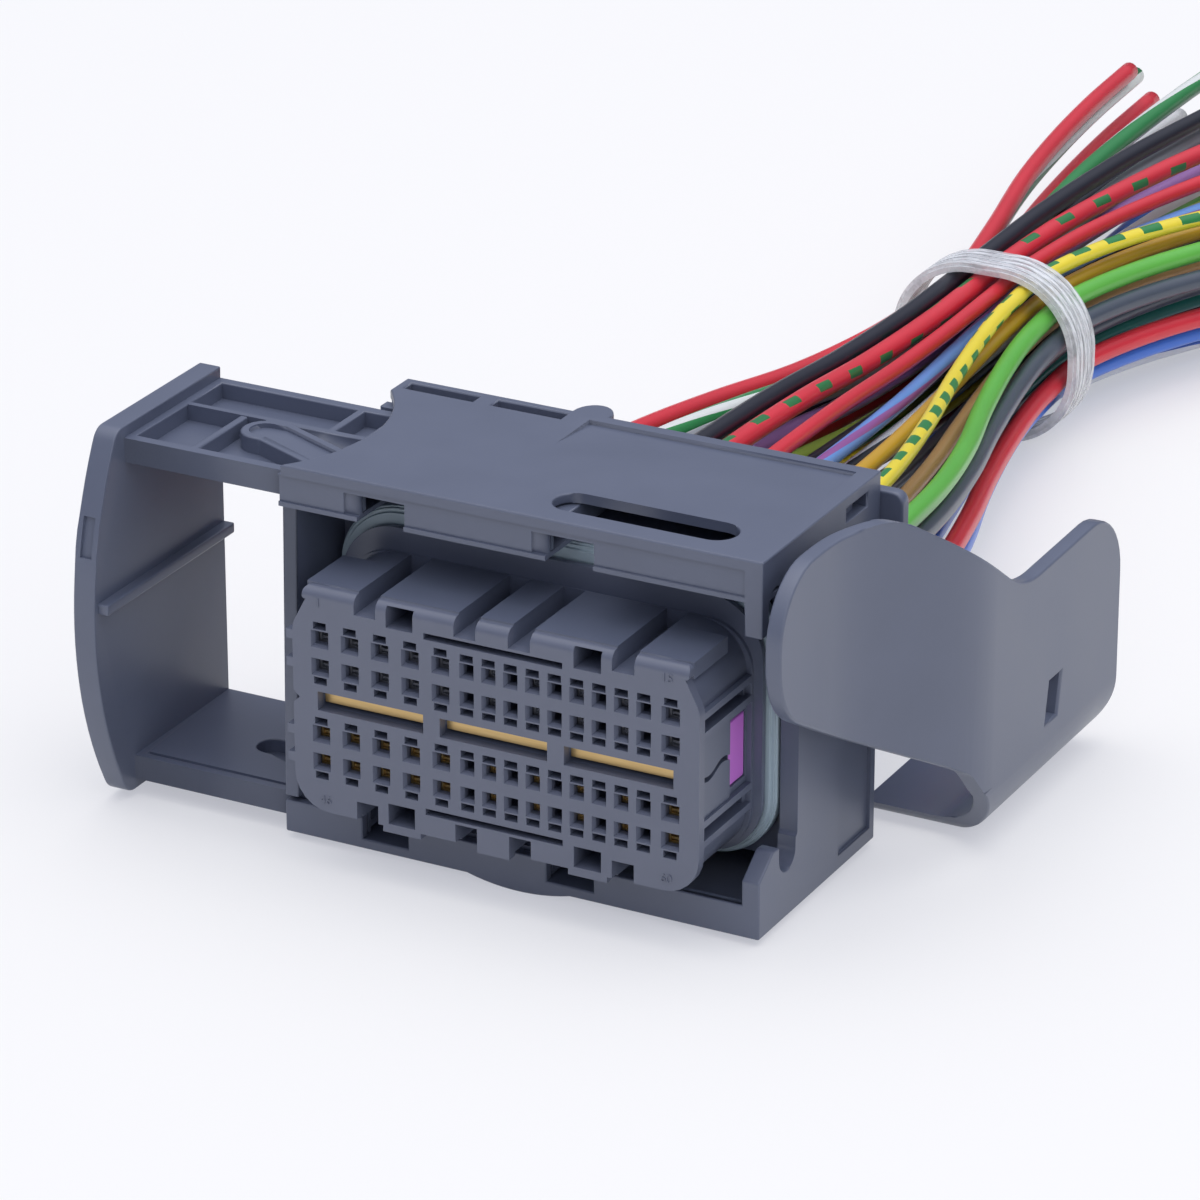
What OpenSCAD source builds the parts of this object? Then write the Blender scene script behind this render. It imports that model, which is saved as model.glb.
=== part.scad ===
// Sealed sixty-way engine control unit connector with a sliding lock, a cable guide and a cut pigtail.
// Millimetres. The origin is the centre of the mating face, -Y looks out of it and +Z is up.

/* [Contact grid] */
// Pitch of the narrow columns
narrow_pitch = 2.5; // [2.4:0.05:2.8]
// Pitch of the wide columns
wide_pitch = 3.5; // [3.3:0.1:3.9]
// Pitch of the two rows of a pair
row_pitch = 3.1; // [3:0.1:3.6]
// Distance between the inner rows of the two pairs
row_gap = 7.5; // [7.2:0.1:8.4]
// Width of a wide cavity mouth
wide_mouth_w = 1.55; // [1.4:0.05:1.8]
// Height of a wide cavity mouth
wide_mouth_h = 1.4; // [1.3:0.05:1.7]
// Width of a narrow cavity mouth
narrow_mouth_w = 1.15; // [1:0.05:1.4]
// Height of a narrow cavity mouth
narrow_mouth_h = 1.2; // [1.1:0.05:1.5]
// Width of the bevel round each mouth
lead_in = 0.25; // [0.2:0.05:0.3]
// Depth of that bevel
lead_depth = 0.5; // [0.3:0.05:0.7]
// Width of the keying slot beside each mouth
key_w = 1.5; // [1.2:0.1:1.6]
// Height of the keying slot
key_h = 0.8; // [0.5:0.1:0.9]
// Web between a mouth's bevel and its keying slot
key_web = 0.15; // [0.1:0.05:0.25]

/* [Contact block] */
// Thickness of the front grid
grid_t = 1.2; // [1:0.1:1.6]
// Face beyond the end columns
face_margin_x = 3.2; // [3:0.1:4]
// Face beyond the outer rows
face_margin_z = 5.55; // [5.2:0.05:6]
// Radius of the face's lower corners
face_r = 4; // [3:0.25:4.5]
// Radius of the face's upper edge
nose_r = 1.1; // [0.8:0.1:1.2]
// Corner radius of the block
block_r = 5; // [4.5:0.25:5.5]
// Block set in from the face's edge at each end
body_inset = 0.6; // [0.4:0.1:1]
// Block's crown above the face's edge
crown_rise = 0.2; // [0.1:0.05:0.3]
// Distance from the mating face to the block's rear
block_d = 29; // [28:0.5:31]
// Depth of the grooves in the crown
groove_depth = 2.2; // [1.6:0.1:2.6]
// Length of the grooves behind the grid
groove_len = 10.7; // [8.7:0.2:10.9]
// Width of the grooves
groove_w = 2.5; // [2:0.1:2.8]
// Side of the cavity behind a wide mouth
wide_cavity = 2.1; // [2:0.05:2.3]
// Side of the cavity behind a narrow mouth
narrow_cavity = 1.7; // [1.6:0.05:1.8]
// Depth at which a cavity widens for the wire
cavity_step_y = 15; // [14:0.5:16]

/* [Brass strips] */
// Length of a shorting bar
bar_len = 12; // [11:0.5:12.4]
// Thickness of a shorting bar
bar_t = 1.6; // [1.2:0.1:1.7]
// Depth of a shorting bar behind the grid's front
bar_d = 4; // [3:0.5:4.5]
// Distance between shorting bars
bar_pitch = 14.2; // [13.8:0.1:14.6]
// Height of the slots in front of the bars
bar_slot_h = 2.1; // [1.9:0.05:2.2]

/* [Secondary lock] */
// Front of the lock behind the mating face
lock_y = 7.7; // [7.5:0.1:7.9]
// Depth of the lock's pad
lock_d = 3.5; // [3:0.1:3.7]
// Height of the lock's pad
lock_h = 7.1; // [6.5:0.1:7.5]
// Thickness of the lock's tongue
lock_tongue_t = 1.8; // [1.4:0.1:2]
// Thickness of the lock's pad
lock_pad_t = 1.2; // [1:0.1:1.3]
// Travel of the lock to its released place
lock_travel = 2; // [1:0.1:2.2]
// Clearance round the lock
lock_clear = 0.15; // [0.1:0.05:0.25]

/* [Seal] */
// Front of the seal behind the mating face
seal_y = 12.9; // [12.8:0.1:13.3]
// Depth of the seal
seal_d = 2.6; // [2.4:0.1:3]
// Thickness of the seal at the sides
seal_h = 1.6; // [1.3:0.1:1.8]
// Thickness of the seal over the block
seal_top_h = 3.4; // [2.8:0.1:3.6]
// Thickness of the seal under the block
seal_low_h = 1; // [0.8:0.1:1.1]
// Thickness of the shell's sleeve inside the seal
sleeve_t = 0.9; // [0.7:0.1:1]
// Gap between the seal and its neighbours
seal_gap = 0.1; // [0.05:0.05:0.2]

/* [Shell] */
// Shell's front edge behind the mating face
shell_set = 5; // [4.5:0.25:5]
// Depth of the shell
shell_d = 27; // [27:0.5:30]
// Gap from the released lock to the shell's right wall
side_gap = 0.9; // [0.7:0.1:1.6]
// Thickness of the right wall
wall_t = 2; // [1.8:0.1:2.6]
// Thickness of the left wall
left_wall_t = 1.6; // [1.4:0.1:2]
// Thickness of the top and bottom plates
plate_t = 1.1; // [1:0.1:1.6]
// Header shroud space over the crown
shroud_gap = 6.35; // [6:0.05:7]
// Gap under the block
bottom_gap = 1.85; // [1.8:0.05:2.4]
// Height of the top lip
top_lip_h = 4.6; // [4.4:0.1:5]
// Height of the bottom lip
bottom_lip_h = 3.6; // [3.2:0.1:3.8]
// Thickness of the lips
lip_t = 1.2; // [1:0.1:1.4]
// Place of the left cam-pin gap
pin_1_x = -15.6; // [-16:0.1:-15.2]
// Place of the right cam-pin gap
pin_2_x = 6; // [5.6:0.1:6.4]
// Width of the cam-pin gaps
pin_gap_w = 5.4; // [5:0.1:5.6]
// Radius of the scalloped left edge of the top plate
scallop_r = 18; // [17:0.5:20]
// Depth of the scallop
scallop_depth = 4.4; // [3.6:0.1:4.8]
// Length of the round-ended window in the top plate
window_len = 20.4; // [18:0.2:21]
// Width of that window
window_w = 4.6; // [4.2:0.1:5]
// Place of that window across the shell
window_x = 11.9; // [11:0.1:12.4]
// Depth of the foot under the shell
foot_h = 0.8; // [0.6:0.1:1.2]
// Width of the foot
foot_w = 12; // [10:0.5:14]
// Thickness of the bulkhead that the block sits in
bulkhead_t = 3; // [2.5:0.1:3.5]
// Clearance of the block in the bulkhead
seat_clear = 0.1; // [0.05:0.05:0.2]
// Width of the block's collar behind the bulkhead
collar_w = 1; // [0.8:0.1:1.2]
// Length of the block's collar
collar_len = 3; // [2:0.2:4]

/* [Locking slide] */
// Distance that the slide stands out at rest
slide_out = 19.2; // [17:0.2:19.4]
// Gap left between the handle's rib and the shell when the slide is home
slide_home_gap = 0.7; // [0.5:0.1:1]
// Height and thickness of the rib inside the handle
handle_rib = 1.2; // [1:0.1:1.5]
// Thickness of the handle
handle_t = 2.6; // [2.2:0.1:3]
// Forward bulge of the handle's front edge
handle_bulge = 5.5; // [4:0.5:6.5]
// Depth of the slide's arms
arm_d = 19.4; // [19:0.2:20]
// Height of the slide's arms
arm_h = 2.7; // [2.5:0.1:3]
// Length of the slide's arms inside the handle
arm_len = 50; // [48:0.5:50.4]
// Clearance round the arms
arm_clear = 0.15; // [0.1:0.05:0.25]
// Depth of the pockets in the arms
pocket_depth = 1.8; // [1.2:0.1:2]
// Web between pockets
pocket_web = 0.9; // [0.8:0.1:1.2]
// Width of the cam tracks
track_w = 3.4; // [3:0.1:3.8]
// Depth of a cam track from the arm's inner face
track_depth = 1.5; // [1.2:0.1:1.7]
// Rearward draw of the cam tracks
track_rise = 6.6; // [6:0.2:7.4]

/* [Cable guide] */
// Wall of the guide
guide_t = 1.8; // [1.6:0.1:2.2]
// Gap between the guide and the shell's right wall
guide_gap = 2.2; // [1.8:0.1:2.8]
// Outward flare of the guide behind the shell
guide_flare = 8; // [6:0.5:10]
// Reach of the guide's cheek in front of the shell
guide_lead = 4; // [3.4:0.2:5]
// Reach of the guide behind the shell
guide_reach = 35.4; // [32:0.2:38]
// Valley of the guide's upper edge behind the shell
guide_valley = 9.6; // [8:0.2:11]
// Height of the guide's hook above the shell's middle
guide_hook_h = 6.8; // [6:0.2:8]
// Radius of the cheek's and hook's round corners
guide_round = 8; // [6:0.5:9]
// Width of the guide's floor
guide_floor_w = 8; // [7:0.5:10]
// Radius between the guide's wall and floor
guide_curl_r = 8; // [7:0.5:8.5]

/* [Rear] */
// Thickness of the wire seal mat
mat_t = 4; // [3.6:0.2:4.2]
// Depth of the retainer's plug in the block
retainer_t = 3.4; // [3:0.1:3.6]
// Thickness of the retainer's cap
cap_t = 1.2; // [1:0.1:1.6]
// Diameter of a thick wire
thick_d = 2.4; // [2.2:0.05:2.4]
// Diameter of a thin wire
thin_d = 1.9; // [1.7:0.05:2]
// Clearance of a wire in its hole
wire_clear = 0.1; // [0.05:0.05:0.12]
// Thickness of the band
band_d = 1.15; // [1:0.05:1.3]
// Half of the width inside the band
band_half_w = 11.05; // [11:0.05:11.5]
// Half of the height inside the band
band_half_h = 9.95; // [9.9:0.05:10.3]
// Turns of the band
band_turns = 5; // [4:1:6]

/* [Hidden] */
$fn = 48;
small = 0.01;
colour_shell = [0.29, 0.31, 0.36];
colour_grid = [0.36, 0.38, 0.43];
colour_seal = [0.5, 0.61, 0.65];
colour_brass = [0.75, 0.58, 0.3];
colour_lock = [0.5, 0.18, 0.56];

// Columns and rows of the grid
column_count = 15;
wide_left = 5;
function is_wide(c) = c < wide_left || c == column_count - 1;
function half_pitch(c) = (is_wide(c) ? wide_pitch : narrow_pitch) / 2;
function run_to(c) = c == 0 ? 0 : run_to(c - 1) + half_pitch(c - 1) + half_pitch(c);
grid_w = run_to(column_count - 1);
col_x = [for (c = [0:column_count - 1]) run_to(c) - grid_w / 2];
row_z = [row_gap / 2 + row_pitch, row_gap / 2, -row_gap / 2, -row_gap / 2 - row_pitch];
row_count = len(row_z);
cells = [for (r = [0:row_count - 1], c = [0:column_count - 1]) [c, r]];

// Block and face
face_w = grid_w + 2 * face_margin_x;
face_h = 2 * (row_z[0] + face_margin_z);
body_w = face_w - 2 * body_inset;
body_h = face_h + 2 * crown_rise;
groove_x = [-14.7, -3.2, 3.0, 14.7];
tongue_left = col_x[0] - 1;
tongue_step = 0.5;
crown_window = [3.1, 2.3];
crown_window_x = 10.7;
crown_slot = [15.8, 0.7];
crown_web = 0.3;
crown_frame = 0.65;
crown_pocket = 5;
key_pocket = 2;
ear_x = 22;
ear_h = 1.3;
crown_z = face_h / 2 - crown_window[1] / 2 - crown_web;
crown_slot_z = body_h / 2 - groove_depth - crown_web - crown_slot[1] / 2;

// Shell stations across, up and back
inner_right = body_w / 2 + lock_travel + side_gap;
shell_right = inner_right + wall_t;
shell_left = -shell_right;
inner_left = shell_left + left_wall_t;
arm_top_low = body_h / 2 + shroud_gap;
top_plate_low = arm_top_low + arm_h + arm_clear;
shell_top = top_plate_low + plate_t;
arm_bottom_high = -body_h / 2 - bottom_gap;
bottom_plate_high = arm_bottom_high - arm_h - arm_clear;
shell_bottom = bottom_plate_high - plate_t;
shell_mid = (shell_top + shell_bottom) / 2;
shell_h = shell_top - shell_bottom;
shell_rear = shell_set + shell_d;
floor_z = shell_bottom - foot_h;
bulkhead_y = seal_y + seal_d + seal_gap;
bulkhead_rear = bulkhead_y + bulkhead_t;
ledge_t = 0.5;
ledge_d = 1.2;
sleeve_low_t = 0.4;
ledge_rear = shell_set + lip_t + 2 * arm_clear + arm_d;
inner_top = arm_top_low - arm_clear;
inner_bottom = arm_bottom_high + arm_clear;
pin_x = [pin_1_x, pin_2_x];

// Slide stations
arm_front = shell_set + lip_t + arm_clear;
arm_rear = arm_front + arm_d;
handle_inner = shell_left - slide_out;
handle_outer = handle_inner - handle_t;
slide_travel = slide_out - handle_rib - slide_home_gap;
rail_t = 1.6;
track_entry = 2.2;
track_flat = 3;
track_over = 2.1;

// Rear stations
mat_front = block_d - mat_t - retainer_t;
mat_margin = 0.4;
mat_w = grid_w + thick_d + 2 * mat_margin;
mat_h = 2 * row_z[0] + thick_d + 2 * mat_margin;
cap_rear = block_d + cap_t;
wire_start = 20;

// Wires: the columns that carry one, each row alike
wire_cols = [0, 1, 2, 3, 4, 6, 8, 10, 12, 14];
wires_in_row = len(wire_cols);
wire_count = row_count * wires_in_row;
wire_sides = 8;
function wire_row(i) = floor(i / wires_in_row);
function wire_place(i) = i % wires_in_row;
function wire_col(i) = wire_cols[wire_place(i)];
function wire_d(c) = is_wide(c) ? thick_d : thin_d;
function has_wire(c) = len(search(c, wire_cols)) > 0;
function two_digits(n) = n < 10 ? str("0", n) : str(n);
function wire_name(i) = str("wire_", two_digits(i + 1));

// Pigtail route: distance back, centre across and up, then the shares gathered across, gathered up and fanned
route = [
    [20, 0, 0, 0, 0, 0],
    [31, 0, 0, 0, 0, 0],
    [42, 0, 0, 0, 0.05, 0],
    [56, -0.8, -0.4, 0.03, 0.2, 0],
    [72, -2.3, -1.9, 0.14, 0.5, 0],
    [90, -4.6, -4.2, 0.36, 0.8, 0],
    [108, -6.9, -6.6, 0.66, 0.96, 0],
    [125, -8.5, -7.8, 0.9, 1, 0],
    [137, -9.3, -8.1, 1, 1, 0],
    [150, -9.5, -8.1, 1, 1, 0],
    [168, -8.3, -8.2, 1, 1, 0.13],
    [190, -4.4, -8.4, 1, 1, 0.38],
    [208, 0.2, -8.7, 1, 1, 0.6],
    [226, 5.2, -9, 1, 1, 0.81],
    [243, 10.3, -9.3, 1, 1, 1],
];
band_y = 143;
band_x = -9.4;
band_corner = 9.1;
fan_pitch = 7.5;
fan_ragged = 1.5;

// Tied bundle of layers of 4, 6, 7, 6, 7, 6 and 4 wires: half steps across and layer of each, row by row
bundle_half_step = 1.55;
bundle_layers = [8.2, 5.3, 2.65, 0, -2.65, -5.3, -8.2];
bundle_places = [
    [[-5, 1], [-3, 1], [-1, 1], [-3, 0], [-1, 0], [1, 0], [1, 1], [3, 1], [3, 0], [5, 1]],
    [[-6, 2], [-5, 3], [-4, 2], [-2, 2], [-1, 3], [0, 2], [2, 2], [3, 3], [4, 2], [6, 2]],
    [[-6, 4], [-4, 4], [-3, 3], [-2, 4], [0, 4], [1, 3], [2, 4], [4, 4], [5, 3], [6, 4]],
    [[-5, 5], [-3, 6], [-3, 5], [-1, 5], [-1, 6], [1, 6], [1, 5], [3, 5], [3, 6], [5, 5]],
];
function bundle_place(i) = bundle_places[wire_row(i)][wire_place(i)];
function bundle_across(i) = bundle_place(i)[0] * bundle_half_step;
function bundle_up(i) = bundle_layers[bundle_place(i)[1]];
function place_off(i) = wire_place(i) - (wires_in_row - 1) / 2;
function fan_back(i) = ((i * 7) % 11 - 5) * fan_ragged;
function wire_point(i, s) = [
    s[1] + col_x[wire_col(i)] * (1 - s[3]) + bundle_across(i) * s[3] + place_off(i) * fan_pitch * s[5],
    s[0] + fan_back(i) * s[5],
    s[2] + row_z[wire_row(i)] * (1 - s[4]) + bundle_up(i) * s[4],
];

// Corner k of an outline rounded to radius r, as arc points
function unit(v) = v / norm(v);
function corner_arc(p, a, b, r, steps) =
    let (u = unit(a - p), v = unit(b - p), half = acos(u * v) / 2, cut = r / tan(half),
         mid = p + unit(u + v) * r / sin(half), from = p + u * cut - mid, to = p + v * cut - mid,
         sweep = 180 - 2 * half)
    r == 0 ? [p] : [for (k = [0:steps])
        mid + (from * sin(sweep * (1 - k / steps)) + to * sin(sweep * k / steps)) / sin(sweep)];
function rounded(points, radii, steps = 6) =
    let (n = len(points))
    [for (k = [0:n - 1])
        each corner_arc(points[k], points[(k + n - 1) % n], points[(k + 1) % n], radii[k], steps)];

// Point k of a line moved sideways by h, mitred at the bends
function left_of(p, q) = let (d = unit(q - p)) [-d[1], d[0]];
function side_point(line, k, h) =
    let (last = len(line) - 1, from = max(k - 1, 0), to = min(k, last - 1),
         a = left_of(line[from], line[from + 1]), b = left_of(line[to], line[to + 1]), m = unit(a + b))
    line[k] + m * h / (m * a);

// Rectangle about the origin with round corners
module round_rect(w, h, r) {
    square([w - 2 * r, h], center = true);
    square([w, h - 2 * r], center = true);
    for (x = [-1, 1], y = [-1, 1])
        translate([x * (w / 2 - r), y * (h / 2 - r)]) circle(r);
}

// Stroke of width w from p to q with round ends
module stroke(p, q, w) {
    translate(p) rotate(atan2(q[1] - p[1], q[0] - p[0])) translate([0, -w / 2]) square([norm(q - p), w]);
    translate(p) circle(w / 2);
    translate(q) circle(w / 2);
}

// Stands a drawing of X and Z up and runs it back from y0 to y1
module back(y0, y1) {
    translate([0, y1, 0]) rotate([90, 0, 0]) linear_extrude(y1 - y0) children();
}

// Stands a drawing of Y and Z up and runs it across from x0 to x1
module across(x0, x1) {
    translate([x0, 0, 0]) rotate([90, 0, 90]) linear_extrude(x1 - x0) children();
}

// Box between two corners
module span(low, high) {
    translate(low) cube(high - low);
}

// Sides of the mouth of a cell in column c
function mouth_size(c) = is_wide(c) ? [wide_mouth_w, wide_mouth_h] : [narrow_mouth_w, narrow_mouth_h];

// Drawing of the mouth of cell (c, r)
module mouth(c, r) {
    translate([col_x[c], row_z[r]]) square(mouth_size(c), center = true);
}

// Bevel that opens the mouth of cell (c, r) towards the front
module mouth_bevel(c, r) {
    size = mouth_size(c);
    wider = [for (side = size) (side + 2 * lead_in) / side];
    translate([col_x[c], lead_depth, row_z[r]]) rotate([90, 0, 0])
        linear_extrude(lead_depth, scale = wider, slices = 1, $fn = 4) square(size, center = true);
}

// Drawing of the keying slot of cell (c, r): outside its row pair on rows one and three
module key_slot(c, r) {
    side = r % 2 == 0 ? 1 : -1;
    z = row_z[r] + side * (mouth_size(c)[1] / 2 + lead_in + key_web + key_h / 2);
    translate([col_x[c], z]) square([key_w, key_h], center = true);
}

// Slots of the three shorting bars
module bar_slots() {
    for (k = [-1, 0, 1])
        translate([k * bar_pitch, 0]) square([bar_len + 2 * lock_clear, bar_slot_h], center = true);
}

// Windows and thin slot at the crown or, mirrored, at the foot of the face
module face_windows() {
    for (x = [-crown_window_x, crown_window_x])
        translate([x, crown_z]) square(crown_window, center = true);
    translate([0, crown_slot_z]) square(crown_slot, center = true);
}

// Grooves down from the crown and, mirrored, up from the foot
module grooves() {
    for (x = groove_x, side = [0, 1])
        mirror([0, side]) translate([x - groove_w / 2, body_h / 2 - groove_depth])
            square([groove_w, groove_depth + small]);
}

// Outline of the front grid with its ears, grooves, side notch, teeth and the frames under the lower windows
module face_outline() {
    tooth = 0.5;
    frame = [crown_window[0] + 2 * crown_frame, crown_window[1]];
    half = face_w / 2;
    top = face_h / 2;
    shoulder = [0.4, 3.1];
    difference() {
        polygon(rounded([
            [-half, -top],
            [half, -top],
            [half, top - ear_h - shoulder[1]],
            [ear_x - shoulder[0], top - ear_h],
            [ear_x, top - ear_h],
            [ear_x, top],
            [-ear_x, top],
            [-ear_x, top - ear_h],
            [shoulder[0] - ear_x, top - ear_h],
            [-half, top - ear_h - shoulder[1]],
        ], [face_r, face_r, 3, 0, 0.3, 0.6, 0.6, 0.3, 0, 3]));
        grooves();
        translate([-face_w / 2, 0]) rotate(45) square(2 * tooth, center = true);
    }
    for (z = row_z)
        translate([-face_w / 2 - tooth / 2, z]) square([2 * tooth, 2 * tooth], center = true);
    for (x = [-crown_window_x, crown_window_x])
        translate([x - frame[0] / 2, -top - crown_frame]) square(frame);
    // Tab between the two middle grooves
    translate([groove_x[1] + groove_w / 2, -top - crown_frame])
        square([groove_x[2] - groove_x[1] - groove_w, crown_window[1]]);
}

// Cut that rounds the upper front edge of the grid, in Y and Z
module nose_cut() {
    translate([0, face_h / 2 - nose_r]) difference() {
        translate([-small, 0]) square([nose_r + small, nose_r + 1]);
        translate([nose_r, 0]) circle(nose_r);
    }
}

module front_grid() color(colour_grid) {
    difference() {
        back(0, grid_t) difference() {
            face_outline();
            for (cell = cells) {
                mouth(cell[0], cell[1]);
                key_slot(cell[0], cell[1]);
            }
            bar_slots();
            face_windows();
            mirror([0, 1]) face_windows();
        }
        for (cell = cells) mouth_bevel(cell[0], cell[1]);
        across(-face_w, face_w) nose_cut();
    }
}

// Curved slit between the halves of the plate on the block's right side, in Y and Z
module side_slit(rear) {
    half = 0.28;
    swing = 0.4;
    turns = 12;
    line = [for (k = [0:turns]) [grid_t + (rear - grid_t) * k / turns, -swing * sin(360 * k / turns)]];
    polygon(concat([for (p = line) p + [0, half]], [for (k = [turns:-1:0]) line[k] - [0, half]]));
}

module contact_block() color(colour_shell) {
    pad_inner = body_w / 2 - lock_pad_t - lock_clear;
    rib_z = [7, 4.85];
    rib_t = 0.75;
    rib_rear = lock_y + lock_d + 0.35;
    rib_depth = 1.1;
    plate_rear = lock_y - lock_clear - 0.15;
    plate_x = face_w / 2 - 0.3;
    crown_t = 1.8;
    crown_rear = 8.5;
    flange_rear = seal_y - 2 * seal_gap;
    flange_front = flange_rear - 0.7;
    difference() {
        union() {
            back(grid_t, block_d) round_rect(body_w, body_h, block_r);
            back(bulkhead_rear, bulkhead_rear + collar_len)
                round_rect(body_w + 2 * collar_w, body_h + 2 * collar_w, block_r + collar_w);
            // Crown that reaches out to the ears, then the two steps of the flange in front of the seal
            span([-ear_x + small, grid_t, body_h / 2 - crown_t], [ear_x - small, crown_rear, body_h / 2]);
            back(rib_rear - small, flange_front) beyond(body_inset, 0, 0, block_r);
            back(flange_front - small, flange_rear) beyond(1.6, 2.6, 0.6, block_r + 1.5);
            // Ribs level with the face's edge, and the plate in front of the lock
            for (z = rib_z, side = [-1, 1])
                span([body_w / 2 - rib_depth, grid_t, side * z - rib_t / 2],
                    [face_w / 2, rib_rear, side * z + rib_t / 2]);
            span([body_w / 2 - rib_depth, grid_t, -rib_z[1]], [plate_x, plate_rear, rib_z[1]]);
        }
        back(grid_t - small, grid_t + groove_len) grooves();
        // Side grooves between the ribs
        for (side = [0, 1])
            mirror([0, 0, side]) span([body_w / 2 - rib_depth, grid_t - small, rib_z[1] + rib_t / 2],
                [face_w / 2, rib_rear - rib_t, rib_z[0] - rib_t / 2]);
        across(body_w / 2 - rib_depth, face_w / 2 + small) side_slit(plate_rear + small);
        // Cavities: a square front and a round rear for the crimp and wire
        back(grid_t - small, cavity_step_y) for (cell = cells) {
            side = is_wide(cell[0]) ? wide_cavity : narrow_cavity;
            translate([col_x[cell[0]], row_z[cell[1]]]) square(side, center = true);
        }
        back(cavity_step_y - small, mat_front + small) for (cell = cells)
            translate([col_x[cell[0]], row_z[cell[1]]]) circle(d = wire_d(cell[0]) + 2 * wire_clear);
        // Pockets behind the grid's windows and slots, then for the bars, the lock and the mat
        back(grid_t - small, grid_t + crown_pocket) {
            face_windows();
            mirror([0, 1]) face_windows();
        }
        back(grid_t - small, grid_t + key_pocket) for (cell = cells) key_slot(cell[0], cell[1]);
        back(grid_t - small, grid_t + bar_d) bar_slots();
        back(grid_t - small, grid_t + bar_d) for (k = [-1, 0, 1])
            translate([k * bar_pitch, bar_slot_h / 2 - bar_t / 2])
                square([bar_len, bar_t] + [1, 1] * 2 * lock_clear, center = true);
        span([pad_inner, lock_y - lock_clear, -lock_h / 2 - lock_clear],
            [body_w / 2 + small, lock_y + lock_d + lock_clear, lock_h / 2 + lock_clear]);
        span([tongue_left - lock_clear, lock_y + tongue_step - lock_clear, -lock_tongue_t / 2 - lock_clear],
            [pad_inner + small, lock_y + lock_d - tongue_step + lock_clear, lock_tongue_t / 2 + lock_clear]);
        back(mat_front, block_d + small) square([mat_w, mat_h] + [1, 1] * 2 * wire_clear, center = true);
    }
}

module shorting_bar(k) color(colour_brass) {
    wave = 0.35;
    translate([k * bar_pitch, 0, bar_slot_h / 2 - bar_t]) {
        span([-bar_len / 2, grid_t + 0.1, 0], [bar_len / 2, grid_t + bar_d - 1, bar_t - wave]);
        for (x = [-1, 0, 1])
            span([x * bar_len / 3 - bar_len / 8, grid_t + 0.4, bar_t - wave - small],
                [x * bar_len / 3 + bar_len / 8, grid_t + bar_d - 1, bar_t]);
    }
}

module secondary_lock() color(colour_lock) {
    pad_inner = body_w / 2 - lock_pad_t;
    span([pad_inner, lock_y, -lock_h / 2], [body_w / 2, lock_y + lock_d, lock_h / 2]);
    span([tongue_left, lock_y + tongue_step, -lock_tongue_t / 2],
        [pad_inner + small, lock_y + lock_d - tongue_step, lock_tongue_t / 2]);
}

// Round rectangle that stands out from the block by side at the sides, high at the top and low underneath
module beyond(side, high, low, r) {
    translate([0, (high - low) / 2]) round_rect(body_w + 2 * side, body_h + high + low, r);
}

// One layer of the seal, drawn in from its full height by inset
module seal_ring(y0, y1, inset) {
    inner = sleeve_t + seal_gap;
    inner_low = sleeve_low_t + seal_gap;
    back(y0, y1) difference() {
        beyond(inner + seal_h - inset, inner + seal_top_h - inset, inner_low + seal_low_h - inset,
            block_r + inner + seal_h - inset);
        beyond(inner, inner, inner_low, block_r + inner);
    }
}

module interface_seal() color(colour_seal) {
    bead = 0.6;
    seal_ring(seal_y, seal_y + seal_d, bead);
    seal_ring(seal_y + bead / 2, seal_y + seal_d - bead / 2, bead / 3);
    seal_ring(seal_y + bead, seal_y + seal_d - bead, 0);
}

// Round pass for every cell, grown by g
module wire_holes(g) {
    for (cell = cells)
        translate([col_x[cell[0]], row_z[cell[1]]]) circle(d = wire_d(cell[0]) + 2 * g);
}

module wire_seal_mat() color([0.55, 0.2, 0.16]) {
    back(mat_front, mat_front + mat_t) difference() {
        square([mat_w, mat_h], center = true);
        wire_holes(wire_clear);
    }
}

module rear_retainer() color(colour_shell) {
    difference() {
        union() {
            back(mat_front + mat_t, block_d + small) square([mat_w, mat_h], center = true);
            back(block_d, cap_rear) round_rect(body_w, body_h, block_r);
        }
        back(mat_front, cap_rear + small) wire_holes(wire_clear);
    }
}

module cavity_plugs() color(colour_seal) {
    head_t = 0.8;
    for (cell = cells) if (!has_wire(cell[0])) {
        translate([col_x[cell[0]], 0, row_z[cell[1]]]) rotate([-90, 0, 0]) {
            translate([0, 0, mat_front]) cylinder(d = thin_d, h = cap_rear - mat_front);
            translate([0, 0, cap_rear]) cylinder(d = thin_d + 0.4, h = head_t);
        }
    }
}

// Box contact with a neck and a round crimp, for a cavity of the given side and a wire of the given diameter
module terminal(side, wire) {
    box = side - 0.2;
    skin = 0.25;
    box_len = 7.5;
    box_front = grid_t + 0.4;
    tongue = [0.3, 4];
    neck_rear = cavity_step_y + 0.6;
    difference() {
        back(box_front, box_front + box_len) square(box, center = true);
        back(box_front - small, box_front + box_len - 1) square(box - 2 * skin, center = true);
    }
    // Spring tongue across the box
    back(box_front + tongue[0], box_front + tongue[1])
        translate([0, -box / 4]) square([box - skin, skin], center = true);
    back(box_front + box_len - small, neck_rear + small)
        translate([0, -box / 4]) square([box * 0.7, box / 2], center = true);
    back(neck_rear, wire_start) circle(d = wire);
}

// One terminal in each wired cell whose column is wide or narrow as asked
module terminal_set(wide) color(colour_brass) {
    for (i = [0:wire_count - 1]) if (is_wide(wire_col(i)) == wide)
        translate([col_x[wire_col(i)], 0, row_z[wire_row(i)]])
            terminal(wide ? wide_cavity : narrow_cavity, wire_d(wire_col(i)));
}

// Profile in Y and Z of the wedge cut that makes the sloping label panel
module panel_wedge() {
    panel_front = shell_rear - 9;
    panel_rear = shell_rear - 1.6;
    panel_depth = 0.5;
    across(-5.1, shell_right - 1.4) polygon([
        [panel_front, shell_top + small],
        [panel_rear, shell_top + small],
        [panel_rear, shell_top - panel_depth],
    ]);
}

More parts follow.
